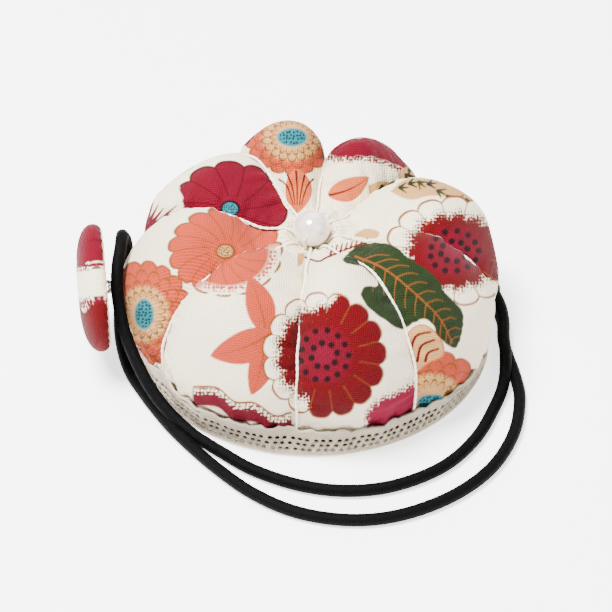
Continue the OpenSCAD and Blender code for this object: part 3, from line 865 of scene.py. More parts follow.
    # Front right: stippled petal, curl, ball flower and the big leaf.
    k, x, y = c.plate(13, -12, 11, [0, 1])
    petal = patch(x, y, [(10.4, -14.8), (12.8, -12.0), (17.0, -10.2), (20.4, -8.6),
                         (21.6, -12), (19, -17), (15, -20), (11, -19)], 0.2)
    c.lay(k, soft(petal + 1.0, 0.4), ink["magenta"])
    c.lay(k, stipple(x, y, 0.95 - (petal + 1.2) / 1.8, 0.6) * (petal < 0.4), ink["magenta"])
    k, x, y = c.plate(24, -4, 15, [1])
    mum(c, k, x - 24.0, y + 12.6, (11.4, 10.6), ink, eye=(3.1, 1.6), inner=0.55, rows=4,
        petals=17)
    curl = patch(x, y, [(17.2, -4.6), (19.2, 1.4), (22.2, 3.0), (25.4, 0.6), (26.2, -3.0),
                        (23.2, -4.6), (20.6, -6.4)])
    c.lay(k, soft(curl, 0.2), ink["beige"])
    c.lay(k, soft(np.abs(curl) - 0.16), ink["orange"])
    for points in ([(19.4, -3.6), (20.6, 0.6), (23.6, 1.6)],
                   [(21.0, -4.2), (21.8, -1.2), (24.4, 0.0)],
                   [(22.6, -4.2), (23.2, -2.6), (25.2, -1.8)]):
        line(curve(points), 0.6, "red", 0.3)
    k, x, y = c.plate(18, 9, 15, [0, 1])
    inner = patch(x, y, [(6, 16), (8.2, 18.2), (11, 19.2), (15.6, 19), (19.6, 16.2), (24.2, 13),
                         (27, 9), (30, 5.6), (29.8, 1), (28.2, -1.8), (25, 1), (24.2, 3),
                         (22.2, 4.2), (20, 3.2), (17.6, 2.2), (14.6, 4), (11.2, 6.6),
                         (9.6, 9.2), (10.6, 10.8), (12.8, 10.8), (12.6, 12.4), (9.6, 14.8),
                         (7, 15.2)], 0.12)
    c.lay(k, soft(inner, 0.25), ink["green"])
    c.lay(k, soft(inner, 0.25) * stipple(x, y, 0.3 + 0.3 * np.sin(x) * np.sin(y), 0.5, 4) * 0.5,
          ink["dark_green"])
    main = curve([(8.6, 16.6), (14.4, 14.2), (20.4, 9.4), (25.4, 4.4), (28.0, -0.6)])
    line(main, 0.42, "brown", 0.5)
    for q in range(11):
        a = main[2 + q * 2]
        for side, reach in ((-1, (-0.4, -5.6)), (1, (5.2, 0.8))):
            tip = a + np.array(reach) * (1 - 0.055 * q)
            vein = curve([a, (a + tip) / 2 + side * np.array([0.2, 0.5]), tip])
            c.lay(k, soft(inner + 0.3, 0.2) * soft(stroke(x, y, vein, 0.24, 0.5), 0.14),
                  ink["brown"])
    # Round the dimple: red comb, tan and beige patches, red arc.
    k, x, y = c.plate(6, 18, 9, [2, 1, 0, 7])
    blot([(8.2, 20.6), (10.6, 22.0), (13.4, 21.4), (12.4, 20.0)], "beige", 0.2)
    for q in range(8):
        line([(3.6 + q * 1.0, 16.8 + 0.34 * q), (4.0 + q * 1.0, 18.6 + 0.2 * q)], 0.5, "red", 0.3)
    line(curve([(-1.4, 16.4), (1.2, 15.7), (3.6, 16.8), (11.4, 19.6)]), 0.4, "red")
    blot([(-4.6, 16.8), (-1.8, 17.2), (-2.0, 15.2), (-4.0, 14.4)], "beige")


def print_back(cloth, ink):
    """More of the same motifs over the far side and the ends."""
    for angle, height, r, turn in ((92, 16, 15, 10), (18, 11, 13, 80), (150, 17, 14, 200)):
        k, x, y = cloth.around(angle, height, r + 4, turn)
        daisy(cloth, k, x, y, (r, r), ink, petals=15, phase=0.3, pale=(60, 250))
    for angle, height, r, name in ((60, 20, 11, "salmon"), (120, 21, 10, "crimson"),
                                   (178, 9, 9, "salmon")):
        k, x, y = cloth.around(angle, height, r + 3)
        poppy(cloth, k, x, y, (r, r), ink, petals=13, swirl=0.3, colour=name,
              rim="brown" if name == "salmon" else "dark_red",
              eye="beige" if name == "salmon" else "teal")
    for angle, height, r in ((38, 12, 10), (112, 7, 9), (70, 6, 8)):
        k, x, y = cloth.around(angle, height, r + 3)
        mum(cloth, k, x, y, (r, r), ink, eye=(2.2, 2.2), inner=0.5, rows=4, petals=16)
    for angle, height, turn in ((76, 25, 30), (134, 10, -40), (160, 27, 200), (48, 24, 140)):
        k, x, y = cloth.around(angle, height, 12, turn)
        leaf(cloth, k, x, y, (-7, 0), (7, 0.5), 6.5, ink["green"], ink["brown"], bend=0.8, veins=5)


# ---------------------------------------------------------------- view

class PINCUSHION_OT_view(bpy.types.Operator):
    """Place the camera in front of and above the cushion"""
    bl_idname = "pincushion.view"
    bl_label = "Camera"

    def execute(self, context):
        aim = np.array([-0.0012, 0.0041, 0.0049])
        data = bpy.data.cameras.new("camera")
        data.sensor_width = 36
        data.lens = 176.5
        data.clip_start, data.clip_end = 0.01, 20
        camera = bpy.data.objects.new("camera", data)
        context.scene.collection.objects.link(camera)
        camera.location = aim + VIEW_AWAY * np.array(
            [0, -math.cos(VIEW_TILT), math.sin(VIEW_TILT)])
        camera.rotation_euler = (math.pi / 2 - VIEW_TILT, 0, 0)
        context.scene.camera = camera
        return {"FINISHED"}


# ---------------------------------------------------------------- elastic

END_TURN, END_X = math.radians(14), 38.0


def at_end(y, z, x=END_X):
    """A point beside the cord's bound ends: y along them, carried round the foot."""
    return (*turned(x, y, END_TURN), z)


def strand_heights(radius):
    """Heights of a strand's middle on the table and of one lying on another."""
    return radius + 0.02, 3 * radius + 0.12


def cord_route(radius):
    """Places the cord's middle passes through, in millimetres, from the upper of its two
    bound ends round to the lower one; g is the height of a strand on the table."""
    g, high = strand_heights(radius)
    return [at_end(6, high), at_end(1, high), at_end(-4, high), (38.2, 0.5, high),
            (38, -4, high), (38.1, -9, 3.2), (37.6, -15, 1.9),
            (35.8, -21, g), (31.5, -30.8, g), (25, -38.8, g), (16, -44, g), (7, -45.6, g),
            (-2, -44.2, g), (-11, -40, g), (-17.5, -34.8, g), (-22, -30.8, g),
            (-26, -27.2, 2.4), (-29.6, -23.8, 4.6), (-32.4, -20.6, 7.6), (-34.6, -17.2, 10.6),
            (-36.3, -14, 13.8), (-37.3, -11, 17), (-37.8, -8.4, 20), (-37.7, -5.6, 23),
            (-37.2, -2.4, 25), (-37.1, 1.2, 25), (-37.1, 4.4, 22.6), (-36.8, 7.4, 18.8),
            (-36.8, 8.6, 14.6), (-37.6, 7.4, 10.2), (-38.3, 3.4, 6.4), (-38.2, -1.8, 3.9),
            (-37.3, -7, 2.3), (-35.6, -12.4, 1.5), (-32.8, -18, g), (-30.4, -22.4, g),
            (-27, -28, g), (-22.6, -34, g), (-17.4, -40.2, g), (-11.3, -46.2, g),
            (-4, -50.9, g), (4, -53.2, g), (12, -53.2, g), (20, -50.7, g), (28, -45.7, g),
            (34.5, -38.6, g), (38.8, -29.4, g), (40.4, -20, g), (39.9, -13, g),
            (38.8, -7, g), (38.1, -2, g), (38.2, 3, g), at_end(-2, g), at_end(2, g),
            at_end(6, g)]


class PINCUSHION_OT_elastic(bpy.types.Operator):
    """Make the braided elastic cord and the thread that binds its two ends"""
    bl_idname = "pincushion.elastic"
    bl_label = "Elastic Loop"

    def execute(self, context):
        trim, colours = context.scene.trim_settings, context.scene.colour_settings
        r = trim.elastic / MM / 2
        path = along(cord_route(r), np.linspace(0, 1, 1000))
        low, high = strand_heights(r)
        path[:, 2] = np.maximum(path[:, 2], low)

        def braid(run, angle):
            """Two sets of low ridges that cross as they wind opposite ways."""
            one = np.cos(8 * angle + run * 3.4)
            two = np.cos(8 * angle - run * 3.4)
            return 0.985 + 0.022 * np.maximum(one, two)

        piece, length = tube_piece("elastic_cord", path, r, 24, braid)
        piece.data.materials.append(strand_material(
            "braided elastic", shades(colours, "elastic"), 260.0, 0.75, 0.0, 0.00006,
            specular=0.07))
        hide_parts("elastic_loop")

        # Thread wound round both ends: a rounded slot outline with a ridge for each turn.
        wall, rows, sides = 0.33, 77, 96
        turn = np.linspace(0, 1, sides + 1)[:-1] * TAU
        flat = np.clip(np.sin(turn) * 3, -1, 1) * (high - low) / 2
        y = np.linspace(5.4, 1.6, rows)
        ridge = 0.10 * np.abs(np.sin((y[:, None] * 9.5 + turn[None, :]) / 2))
        ring = r + 0.02 + wall / 2 + ridge
        points = np.stack(at_end(y[:, None] + 0 * ring,
                                 (low + high) / 2 + flat + ring * np.sin(turn),
                                 END_X + ring * np.cos(turn)), -1) * MM
        wound = new_piece("end_winding", points, grid_quads(rows, sides, wrap_m=True),
                          "cushion")
        set_uv(wound, "run", np.stack([turn * r + 0 * y[:, None], y[:, None] + 0 * turn], -1) * MM)
        wound.data.materials.append(strand_material(
            "black sewing thread", shades(colours, "elastic"), 500.0, 0.7, 0.1, 0.00003))
        thicken(wound, 0.3 * MM, 0.0)
        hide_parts("end_binding")
        finish_nodes(fibre_material("black stitches", (0.004, 0.004, 0.005), 2400.0),
                     "end_stitch")
        return {"FINISHED"}


# ---------------------------------------------------------------- cushion

def cover_points(slices, rows):
    """The cover's outer side: the cushion's form with slow lumps, puckers that run
    off the creases, gathers above the lace and folds gathered in round the pearl."""
    p = spun(cushion_form(slices, rows), slices)
    n = surface_normals(p)
    x, y, z = p[..., 0], p[..., 1], p[..., 2]
    r = np.hypot(x, y)
    i = lobe_at(slices)
    to_left = (slices - CREASES[i])[:, None]
    to_right = (CREASES[i + 1] - slices)[:, None]
    near = np.radians(np.minimum(to_left, to_right)) * r
    run = run_of(p[40])[None, :]
    side = np.where(to_left < to_right, i[:, None], i[:, None] + 1) * 1.7
    hand = np.where(to_left < to_right, 1.0, 2.0)
    slow = (np.sin(x * 0.31 + 1.1) * np.cos(y * 0.27) + np.sin(z * 0.4 + y * 0.2 + 2.0)) * 0.22
    pucker = ((np.sin(run * 1.15 + side * 2.1 + hand + near * 0.35)
               + 0.6 * np.sin(run * 2.3 + side * 3.7 + near * 0.2) + 0.7)
              * 0.32 * np.exp(-near / 3.4) * np.clip((near - 0.2) / 1.4, 0, 1))
    theta = np.radians(slices)[:, None]
    gather = ((np.sin(theta * 61 + 2 * np.sin(theta * 7)) + 0.7 * np.sin(theta * 37 + 1.0))
              * 0.30 * np.exp(-np.clip(z - 7.0, 0, 50) / 3.4) * (z > FOOT + 1.2))
    dimple = ((np.sin(theta * 33 + 1.5 * np.sin(theta * 5)) + 0.6 * np.sin(theta * 21))
              * 0.20 * np.clip((r - 2.5) / 2.5, 0, 1) * np.exp(-np.clip(r - 5, 0, 50) / 3.0)
              * (z > 15))
    move = (slow * np.clip((r - 3) / 8, 0, 1) * (z > FOOT + 0.5) + pucker * (z > FOOT + 2)
            + gather + dimple)
    return p + n * np.maximum(move, -0.3)[..., None]


class PINCUSHION_OT_cover(bpy.types.Operator):
    """Make the printed cotton cover and the wadding inside it"""
    bl_idname = "pincushion.cover"
    bl_label = "Cover and Wadding"

    def execute(self, context):
        s, colours = context.scene.cushion_settings, context.scene.colour_settings
        slices = even_slices(s.slices)
        low, bend = 16, 0.19
        rows = np.concatenate([even_rows(low, 0, bend)[:-1], even_rows(s.rows - low, bend, 1)])
        outer = cover_points(slices, rows)
        normals = surface_normals(outer)
        flat = spun(cushion_form(slices, rows), slices)
        smooth = surface_normals(flat)
        few = np.unique(np.concatenate([np.arange(0, len(rows) - 1, 4), [len(rows) - 1]]))
        inner = (outer - normals * (s.cloth / MM + 0.1))[:, few[::-1]]
        shell = np.concatenate([outer, inner], 1)
        n, m = shell.shape[:2]
        piece = new_piece("printed_cover", shell * MM, grid_quads(n, m, True, True),
                          "cushion")
        ink = inks(colours)
        # Painted shade: the cover's colour is darkened towards its foot, below about 5.6 mm, where
        # it lies behind the lace, so the lace's holes look dark as in shadow.
        foot = np.clip((5.6 - outer.reshape(-1, 3)[:, 2]) / 1.4, 0, 1)[:, None]
        cloth = Printed(outer.reshape(-1, 3), smooth.reshape(-1, 3),
                        np.repeat(lobe_at(slices), outer.shape[1]), ink["ground"])
        print_front(cloth, ink)
        print_back(cloth, ink)
        # Lays the painted shade on at the foot.
        cloth.colour *= 1 - 0.8 * foot
        paint = np.tile(ink["ground"], (n, m, 1))
        paint[:, :outer.shape[1]] = cloth.colour.reshape(n, -1, 3)
        set_colour(piece, "print", paint.reshape(-1, 3))
        run = np.concatenate([np.cumsum(np.linalg.norm(
            np.diff(flat, axis=1), axis=2)[:, ::-1], axis=1)[:, ::-1],
            np.zeros((n, 1))], 1)
        reach = np.concatenate([run, run[:, few[::-1]]], 1)
        a = np.radians(slices)[:, None]
        set_uv(piece, "weave", np.stack([reach * np.cos(a), reach * np.sin(a)], -1) * MM)
        piece.data.materials.append(cloth_material("printed cotton", 0.00045, attribute="print",
                                                   depth=0.0002, spread=0.34))
        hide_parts("cushion_cover")

        slices = even_slices(320)
        rows = even_rows(60, 0.10, 0.96)
        core = spun(cushion_form(slices, rows), slices)
        core = core - surface_normals(core) * 1.25
        core[..., 2] = np.maximum(core[..., 2], GROOVE + 1.1)
        lump = np.sin(core[..., 0] * 0.9) * np.sin(core[..., 1] * 0.8 + 1) * 0.12
        core[..., :2] *= (1 - np.abs(lump) * 0.02)[..., None]
        a = np.radians(slices)
        low, high = core[:, :1].copy(), core[:, -1:].copy()
        for ring, z in ((low, GROOVE + 1.1), (high, s.seat / MM - 1.6)):
            ring[:, 0, 0], ring[:, 0, 1] = 1.05 * np.cos(a), 1.05 * np.sin(a)
            ring[:, 0, 2] = z
        core = np.concatenate([low, core, high], 1)
        pad = new_piece("wadding", core * MM, grid_quads(*core.shape[:2], True, True),
                        "cushion")
        pad.data.materials.append(fibre_material("polyester wadding", (0.9, 0.9, 0.89), 900.0))
        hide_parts("stuffing")
        return {"FINISHED"}


class PINCUSHION_OT_floss(bpy.types.Operator):
    """Make the eight turns of twisted floss that draw the cushion in"""
    bl_idname = "pincushion.floss"
    bl_label = "Floss"

    def execute(self, context):
        s, colours = context.scene.cushion_settings, context.scene.colour_settings
        material = strand_material("stranded floss", shades(colours, "floss"), 330.0, 0.55,
                                   0.35, 0.00004, 0.3)
        finish_nodes(fibre_material("cotton thread", shades(colours, "floss"), 2400.0),
                     "centre_tie", "gather_stitch", "pearl_thread", "button_stitch",
                     "button_knot")
        fr = s.floss / MM / 2
        for k in range(LOBES):
            rows = even_rows(330, 2 / 27, 26 / 27)
            form = cushion_form(CREASES[k:k + 1], rows)[0]
            step = np.gradient(form, axis=0)
            step /= np.linalg.norm(step, axis=1)[:, None]
            lift = fr + np.interp(form[:, 0], [3.2, 5, 14, 25, 37.6], [0.1, 0.35, 0.4, 0.22, 0.15])
            line = form + lift[:, None] * np.stack([step[:, 1], -step[:, 0]], -1)
            line[:, 1] = np.maximum(line[:, 1], FOOT - 0.15 + fr)
            line = np.concatenate([[(TIE_R + 0.5, BASE_TOP + 0.05 + fr)], line,
                                   [(TIE_R + fr + 0.1, s.seat / MM + fr + 0.08)]])
            line = spun(line[None], CREASES[k:k + 1])[0]
            a = math.radians(CREASES[k])
            across = (-math.sin(a), math.cos(a), 0)
            wander = 0.10 * np.sin(np.arange(len(line)) * 0.11 + k)
            line[:, :2] += wander[:, None] * np.array(across[:2])

            def strands(run, angle):
                """Two strands laid round each other: a radius that bulges twice a turn."""
                return 0.90 + 0.14 * np.cos(2 * (angle - run * 2.4))

            piece, _ = tube_piece(f"floss_{k + 1}", line, fr, 14, strands, across)
            piece.data.materials.append(material)
            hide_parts(f"floss_turn_{k + 1}")
        return {"FINISHED"}


THREAD_TURN = math.radians(66)  # direction of the thread through the pearl


class PINCUSHION_OT_pearl(bpy.types.Operator):
    """Make the pearl, with the hole its thread runs through"""
    bl_idname = "pincushion.pearl"
    bl_label = "Pearl"

    def execute(self, context):
        s, colours = context.scene.cushion_settings, context.scene.colour_settings
        low, high = (np.array(c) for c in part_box("pearl"))
        centre = (low + high) / 2 / MM
        r, bore = s.pearl / MM / 2, 0.38
        mouth = math.asin(bore / r)
        f = mouth + (math.pi - 2 * mouth) * np.linspace(0, 1, 97)
        lip = np.exp(-((f - mouth) / 0.05) ** 2) + np.exp(-((math.pi - mouth - f) / 0.05) ** 2)
        profile = np.stack([(r - 0.04 * lip) * np.sin(f), (r - 0.04 * lip) * np.cos(f)], -1)
        inside = np.stack([np.full(9, bore), np.linspace(-1, 1, 11)[1:-1] * profile[0, 1]], -1)
        profile = np.concatenate([profile, inside])
        a = np.arange(128)[:, None] * TAU / 128
        flat = turned(profile[:, 1] + 0 * a, profile[:, 0] * np.cos(a), THREAD_TURN)
        points = np.stack([*flat, profile[:, 0] * np.sin(a)], -1) + centre
        piece = new_piece("pearl_bead", points * MM,
                          grid_quads(128, len(profile), True, True, flip=True), "pearl")
        mat, shader, add, join, set_value = new_material("pearl lustre")
        place = add("ShaderNodeTexCoord")
        slow = add("ShaderNodeTexNoise", Scale=260.0, Detail=2.0, Distortion=1.0)
        join(place, "Object", slow, "Vector")
        ramp = add("ShaderNodeValToRGB")
        base = shades(colours, "pearl")
        ramp.color_ramp.elements[0].position, ramp.color_ramp.elements[1].position = 0.35, 0.65
        ramp.color_ramp.elements[0].color = (base[0] * 0.97, base[1] * 0.95, base[2] * 0.97, 1)
        ramp.color_ramp.elements[1].color = (base[0], base[1] * 1.02, base[2], 1)
        join(slow, "Fac", ramp, "Fac")
        join(ramp, "Color", shader, "Base Color")
        fine = add("ShaderNodeTexNoise", Scale=4000.0, Detail=2.0)
        join(place, "Object", fine, "Vector")
        rough = ranged(add, join, fine, "Fac", 0.10, 0.18)
        join(rough, "Result", shader, "Roughness")
        set_value(Metallic=0.25, Coat_Weight=1.0, Coat_Roughness=0.06, Sheen_Weight=0.3,
                  Specular_IOR_Level=0.7, Subsurface_Weight=0.15, Subsurface_Scale=0.001)
        bump_on(shader, add, join, fine, "Fac", 0.08, 0.00002)
        piece.data.materials.append(mat)
        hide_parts("pearl")
        return {"FINISHED"}


# ---------------------------------------------------------------- lace

class PINCUSHION_OT_lace(bpy.types.Operator):
    """Make the lace band: three rows of worked holes between a border and a heading"""
    bl_idname = "pincushion.lace"
    bl_label = "Lace"

    def execute(self, context):
        trim, colours = context.scene.trim_settings, context.scene.colour_settings
        pitch = trim.lace_pitch / MM
        count = int(round(TAU * 36.0 / pitch))
        rows = 3
        row_h, low_z, top_z = 1.38, 1.35, trim.lace_top / MM

        # Radius of the cushion's side at the height of the lace's upper edge, and the
        # band's own radius at the base.
        look = np.linspace(-95, 265, 721)
        side = cushion_form(look, np.linspace(0.16, 0.36, 60))
        at = np.argmin(np.abs(side[..., 1] - top_z - 0.2), 1)
        edge_r = np.convolve(np.pad(side[np.arange(721), at, 0], 8, "wrap"),
                             np.ones(17) / 17, "valid")

        low_r = 34.55 + 0.33

        def place(u, z, lift=0.0):
            """u counts holes round the band, z is height: the band leans from the base to
            the cushion's side above it, and waves a little in and out."""
            a = u * TAU / count
            wave = 0.12 * np.sin(a * 31 + 1) + 0.10 * np.sin(a * 17 + 3 * z / 7)
            high = np.interp((np.degrees(a) + 95) % 360 - 95, look, edge_r) + 0.42
            r = (low_r + (np.maximum(high, low_r - 0.1) - low_r) * ((z - 0.4) / 7.0) ** 1.2
                 + wave * np.clip(z / 4, 0, 1) + lift)
            return round_axis(r, z, a)

        # One tile of net: an edge square, a raised ring and the hole, 12 points each.
        q = np.arange(12) * TAU / 12 + math.pi / 4
        square = np.array([(1, 1), (1 / 3, 1), (-1 / 3, 1), (-1, 1), (-1, 1 / 3), (-1, -1 / 3),
                           (-1, -1), (-1 / 3, -1), (1 / 3, -1), (1, -1), (1, -1 / 3),
                           (1, 1 / 3)])
        hole = trim.lace_hole / MM / pitch
        ring = np.stack([np.cos(q), np.sin(q)], -1)
        tile = np.stack([square * 0.5, ring * (hole / 2 + 0.07), ring * hole / 2])
        lift = np.array([0.0, 0.14, 0.02])[:, None] + np.zeros((3, 12))
        cols = np.arange(count)[:, None, None, None]
        line = np.arange(rows)[None, :, None, None]
        u = cols + tile[None, None, ..., 0] + line / 3
        jig = 0.09 * np.sin(cols * 2.1 + line * 1.3)
        v = low_z + (line + 0.5 + tile[None, None, ..., 1] + 0 * cols) * row_h
        inner = (np.arange(3) > 0)[None, None, :, None]
        net = place(u + jig * inner, v, lift[None, None] + 0 * u)
        base = np.arange(count * rows)[:, None, None] * 36
        a = (np.arange(2)[:, None] * 12 + np.arange(12)[None, :]).ravel()
        b = (np.arange(2)[:, None] * 12 + (np.arange(12)[None, :] + 1) % 12).ravel()
        quads = (base + np.stack([a, b, b + 12, a + 12], -1)[None]).reshape(-1, 4)
        points = [net.reshape(-1, 3)]
        maps = [np.stack([u * pitch, v + 0 * u], -1).reshape(-1, 2)]
        total = len(points[0])

        # Border below and heading above, as grids three columns to a hole.
        n = count * 3
        cu = (np.arange(n) / 3 - 0.5)[:, None]
        roll = np.linspace(0, 1, 5)[None, :]
        border = place(cu + 0 * roll, 0.45 + (low_z - 0.45) * roll,
                       0.20 * np.sin(math.pi * roll) * (0.8 + 0.2 * np.cos(cu * 9)))
        h0 = low_z + rows * row_h
        edge = (0.30 * np.sin(cu * TAU / count * 43) + 0.22 * np.sin(cu * TAU / count * 71 + 1)
                + 0.12 * np.sin(cu * TAU / count * 139))
        t = np.linspace(0, 1, 9)[None, :]
        heading = place(cu + 0 * t, h0 + (top_z - h0 + edge) * t,
                        0.12 * np.sin(math.pi * t * 3) ** 2 + 0.10 * t * np.sin(cu * 0.9))
        for grid, rise in ((border, 0.45 + (low_z - 0.45) * roll), (heading, h0 + 2 * t)):
            quads = np.concatenate([quads, grid_quads(n, grid.shape[1], wrap_n=True) + total])
            points.append(grid.reshape(-1, 3))
            maps.append(np.stack([cu * pitch + 0 * rise, rise + 0 * cu], -1).reshape(-1, 2))
            total += grid.shape[0] * grid.shape[1]
        points, maps = np.concatenate(points), np.concatenate(maps)
        # Long slits in the heading: a few runs of its faces are left out.
        first = count * rows * 24 + n * 4
        k = np.arange(len(quads)) - first
        col, row = k // 8, k % 8
        slit = ((k >= 0) & ((row == 3) | (row == 4)) & ((col % 57) < 11)
                & (hashed(col // 57, 1.0) > 0.35))
        quads = quads[~slit]
        piece = new_piece("lace_trim", points * MM, quads, "cushion")
        set_uv(piece, "weave", maps * MM)
        weld(piece, 2e-6)
        thicken(piece, trim.lace_thickness, 0.0)
        piece.data.materials.append(cloth_material(
            "cotton lace", 0.00034, shades(colours, "lace"), roughness=0.85, sheen=0.2,
            depth=0.00008, spread=0.2))
        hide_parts("lace_band")
        return {"FINISHED"}


# ---------------------------------------------------------------- button

BUTTON_TURN, BUTTON_UP, BUTTON_GAP = math.radians(187), 17.3, 3.0


def at_button(points, cushion):
    """From the button's own axes, face outwards, to its place on the left side."""
    x, y, z = points[..., 0], points[..., 1], points[..., 2]
    out = cushion.diameter / MM / 2 + BUTTON_GAP + z
    return np.stack([*turned(out, y, BUTTON_TURN), BUTTON_UP - x], -1)


class PINCUSHION_OT_button(bpy.types.Operator):
    """Make the button's printed fabric, stretched over its dome and pleated behind"""
    bl_idname = "pincushion.button"
    bl_label = "Covered Button"

    def execute(self, context):
        trim, colours = context.scene.trim_settings, context.scene.colour_settings
        r, depth, rim = trim.button / MM / 2, trim.button_depth / MM, 1.7
        back, n = r - 3, 240
        a = np.arange(n)[:, None] * TAU / n
        f = np.linspace(math.pi / 2, 0, 60)
        face = np.stack([r * np.maximum(np.cos(f), 0) ** 0.62,
                         rim + (depth - rim) * np.sin(f)], -1)
        g = np.linspace(0, math.pi / 2, 22)[1:]
        under = np.stack([r - rim * (1 - np.cos(g)), rim - rim * np.sin(g)], -1)
        h = np.linspace(0, 1, 10)[1:]
        behind = np.stack([r - rim + (back - r + rim) * h, 0 * h], -1)
        profile = np.concatenate([face, under, behind])
        w = profile[:, 0][None, :] + 0 * a
        z = profile[:, 1][None, :] + 0 * a
        fold = np.clip((rim - z) / rim, 0, 1)
        pleat = np.abs(np.sin(a * 17 + 1.2 * np.sin(a * 3))) ** 0.6 - 0.6
        z = z + 0.22 * pleat * fold * (w > back)
        w = w - 0.16 * pleat * fold * np.clip(w - back, 0, 1)
        w[:, 0] = 0
        own = round_axis(w, z, a)
        points = at_button(own, context.scene.cushion_settings)
        quads = grid_quads(n, len(profile), wrap_n=True, flip=True)
        piece = new_piece("button_fabric", points * MM, quads, "button")
        ink = inks(colours)
        c, s = 0.766, 0.643  # the stripes lie at a slant of 40 degrees
        up = -own[..., 0] * c - own[..., 1] * s
        across = own[..., 1] * c - own[..., 0] * s
        paint = np.tile(ink["ground"], (*w.shape, 1))
        top = np.clip((up - (4.8 + 0.9 * np.sin(across * 0.5 + 1))) / 0.3, 0, 1)
        low = np.clip((-3.6 + 0.8 * np.sin(across * 0.6) - up) / 0.3, 0, 1)
        far = fold < 0.9
        from_edge = np.minimum(np.abs(up - 4.4), np.abs(up + 3.0)).ravel()
        dust = stipple(across.ravel(), up.ravel(),
                       np.clip(0.9 - from_edge / 1.6, 0, 1)).reshape(w.shape)
        for mask, name in ((dust * far, "crimson"), (top * far, "crimson"), (low * far, "red")):
            paint += (ink[name] - paint) * mask[..., None]
        line = soft(np.abs(np.sin(np.arctan2(across, up + 14) * 9)) * 3 - 0.15, 0.2) * top * far
        paint += (ink["dark_red"] - paint) * (line * 0.6)[..., None]
        set_colour(piece, "print", paint.reshape(-1, 3))
        run = run_of(profile)
        set_uv(piece, "weave", np.stack([run[None] * np.cos(a), run[None] * np.sin(a)], -1) * MM)
        weld(piece, 1e-7)
        thicken(piece, 0.35 * MM, -1.0)
        piece.data.materials.append(cloth_material("button cotton", 0.00045, attribute="print",
                                                   roughness=0.75))
        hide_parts("button_cover")
        finish_nodes(metal_material("pressed tin", (0.60, 0.60, 0.62), 0.35), "button_shell",
                     "button_back")
        finish_nodes(metal_material("drawn wire", (0.50, 0.50, 0.51), 0.28, (900, 40, 40)),
                     "button_shank")
        return {"FINISHED"}


# ---------------------------------------------------------------- base and stage

class PINCUSHION_OT_base(bpy.types.Operator):
    """Make the felt under the base and colour the board dark as painted shade behind the lace"""
    bl_idname = "pincushion.base"
    bl_label = "Base"

    def execute(self, context):
        s, colours = context.scene.cushion_settings, context.scene.colour_settings
        r, thick, soft_edge = s.base / MM / 2, 1.18, 0.35
        g = np.linspace(0, math.pi / 2, 7)
        top = np.linspace(0, 1, 16)
        profile = np.concatenate([
            np.stack([(r - soft_edge) * top, 0 * top], -1),
            np.stack([r - soft_edge + soft_edge * np.sin(g), soft_edge * (1 - np.cos(g))], -1)[1:],
            np.stack([r - soft_edge + soft_edge * np.cos(g), thick - soft_edge
                      + soft_edge * np.sin(g)], -1),
            np.stack([(r - soft_edge) * (1 - top[1:]), thick + 0 * top[1:]], -1)])
        a = np.arange(256)[:, None] * TAU / 256
        w = profile[None, :, 0] * (1 + 0.0012 * np.sin(a * 23) + 0.0008 * np.sin(a * 57))
        points = round_axis(w, profile[None, :, 1], a)
        piece = new_piece("felt_base", points * MM, grid_quads(256, len(profile), wrap_n=True),
                          "cushion")
        weld(piece, 1e-7)
        piece.data.materials.append(fibre_material("felt", shades(colours, "felt"), 1500.0))
        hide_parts("base_felt")
        # Painted shade: the board is coloured almost black so that it looks like the shade seen
        # through the lace's holes.
        finish_nodes(fibre_material("dark board", (0.05, 0.045, 0.04), 700.0, 0.85, 0.0, 0.00004),
                     "base_disc")
        return {"FINISHED"}


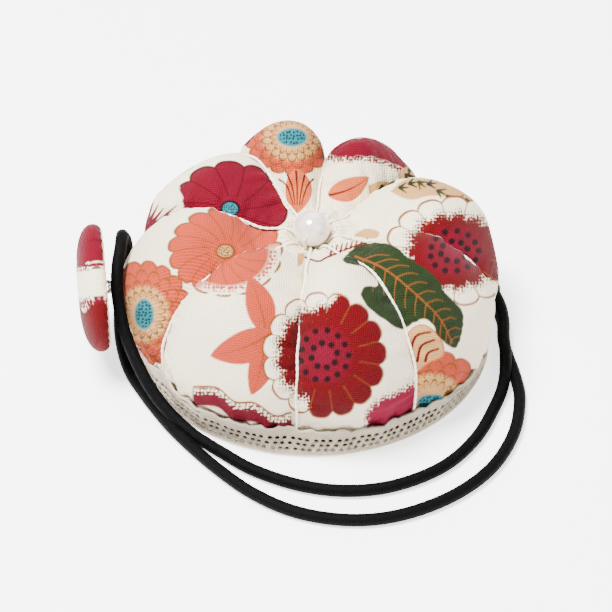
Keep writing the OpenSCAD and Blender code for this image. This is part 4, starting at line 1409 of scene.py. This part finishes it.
class PINCUSHION_OT_stage(bpy.types.Operator):
    """Lay the pale floor and hang the soft studio lights"""
    bl_idname = "pincushion.stage"
    bl_label = "Stage"

    def execute(self, context):
        mesh = bpy.data.meshes.new("floor")
        e = 6.0
        mesh.from_pydata([(-e, -e, 0), (e, -e, 0), (e, e, 0), (-e, e, 0)], [], [(0, 1, 2, 3)])
        floor = bpy.data.objects.new("floor", mesh)
        context.scene.collection.objects.link(floor)
        mat, shader, add, join, set_value = new_material("pale floor")
        place = add("ShaderNodeTexCoord")
        slow = add("ShaderNodeTexNoise", Scale=3.0, Detail=2.0)
        join(place, "Object", slow, "Vector")
        tone = ranged(add, join, slow, "Fac", 0.90, 0.93)
        join(tone, "Result", shader, "Base Color")
        set_value(Roughness=0.9, Specular_IOR_Level=0.1, Emission_Color=(1, 1, 1, 1),
                  Emission_Strength=1.9)
        floor.data.materials.append(mat)
        world = bpy.data.worlds.new("studio")
        world.use_nodes = True
        world.node_tree.nodes["Background"].inputs["Color"].default_value = (1, 1, 1, 1)
        world.node_tree.nodes["Background"].inputs["Strength"].default_value = 0.34
        context.scene.world = world
        for name, spot, size_m, power in (("key", (-0.26, -0.10, 0.85), 0.35, 40.0),
                                          ("fill", (0.6, -0.6, 0.6), 0.8, 5.0),
                                          ("back", (0.1, 0.8, 0.6), 0.8, 6.0)):
            data = bpy.data.lights.new(name, "AREA")
            data.energy, data.size = power, size_m
            lamp = bpy.data.objects.new(name, data)
            context.scene.collection.objects.link(lamp)
            lamp.location = spot
            back = np.array(spot) / np.linalg.norm(spot)
            lamp.rotation_euler = (math.acos(back[2]), 0,
                                   math.atan2(back[1], back[0]) + math.pi / 2)
        return {"FINISHED"}


# ---------------------------------------------------------------- panel and main

OPERATORS = (PINCUSHION_OT_view, PINCUSHION_OT_elastic, PINCUSHION_OT_cover,
             PINCUSHION_OT_floss, PINCUSHION_OT_pearl, PINCUSHION_OT_lace,
             PINCUSHION_OT_button, PINCUSHION_OT_base, PINCUSHION_OT_stage)
SETTINGS = {"cushion_settings": CushionSettings, "trim_settings": TrimSettings,
            "colour_settings": ColourSettings}


class PINCUSHION_PT_panel(bpy.types.Panel):
    """Sizes, colours and steps of the pin cushion."""
    bl_label = "Pin Cushion"
    bl_idname = "PINCUSHION_PT_panel"
    bl_space_type = "VIEW_3D"
    bl_region_type = "UI"
    bl_category = "Pin Cushion"

    def draw(self, context):
        for name, group in SETTINGS.items():
            box = self.layout.box()
            for key in group.__annotations__:
                box.prop(getattr(context.scene, name), key)
        for op in OPERATORS:
            self.layout.operator(op.bl_idname, text=op.bl_label)


def register():
    for group in SETTINGS.values():
        bpy.utils.register_class(group)
    for name, group in SETTINGS.items():
        setattr(bpy.types.Scene, name, PointerProperty(type=group))
    for cls in (*OPERATORS, PINCUSHION_PT_panel):
        bpy.utils.register_class(cls)


def unregister():
    for cls in (PINCUSHION_PT_panel, *reversed(OPERATORS)):
        bpy.utils.unregister_class(cls)
    for name in SETTINGS:
        delattr(bpy.types.Scene, name)
    for group in reversed(tuple(SETTINGS.values())):
        bpy.utils.unregister_class(group)


def main():
    register()
    for name in ("view", "elastic", "cover", "floss", "pearl", "lace", "button", "base",
                 "stage"):
        getattr(bpy.ops.pincushion, name)()
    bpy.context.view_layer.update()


if __name__ == "__main__":
    main()
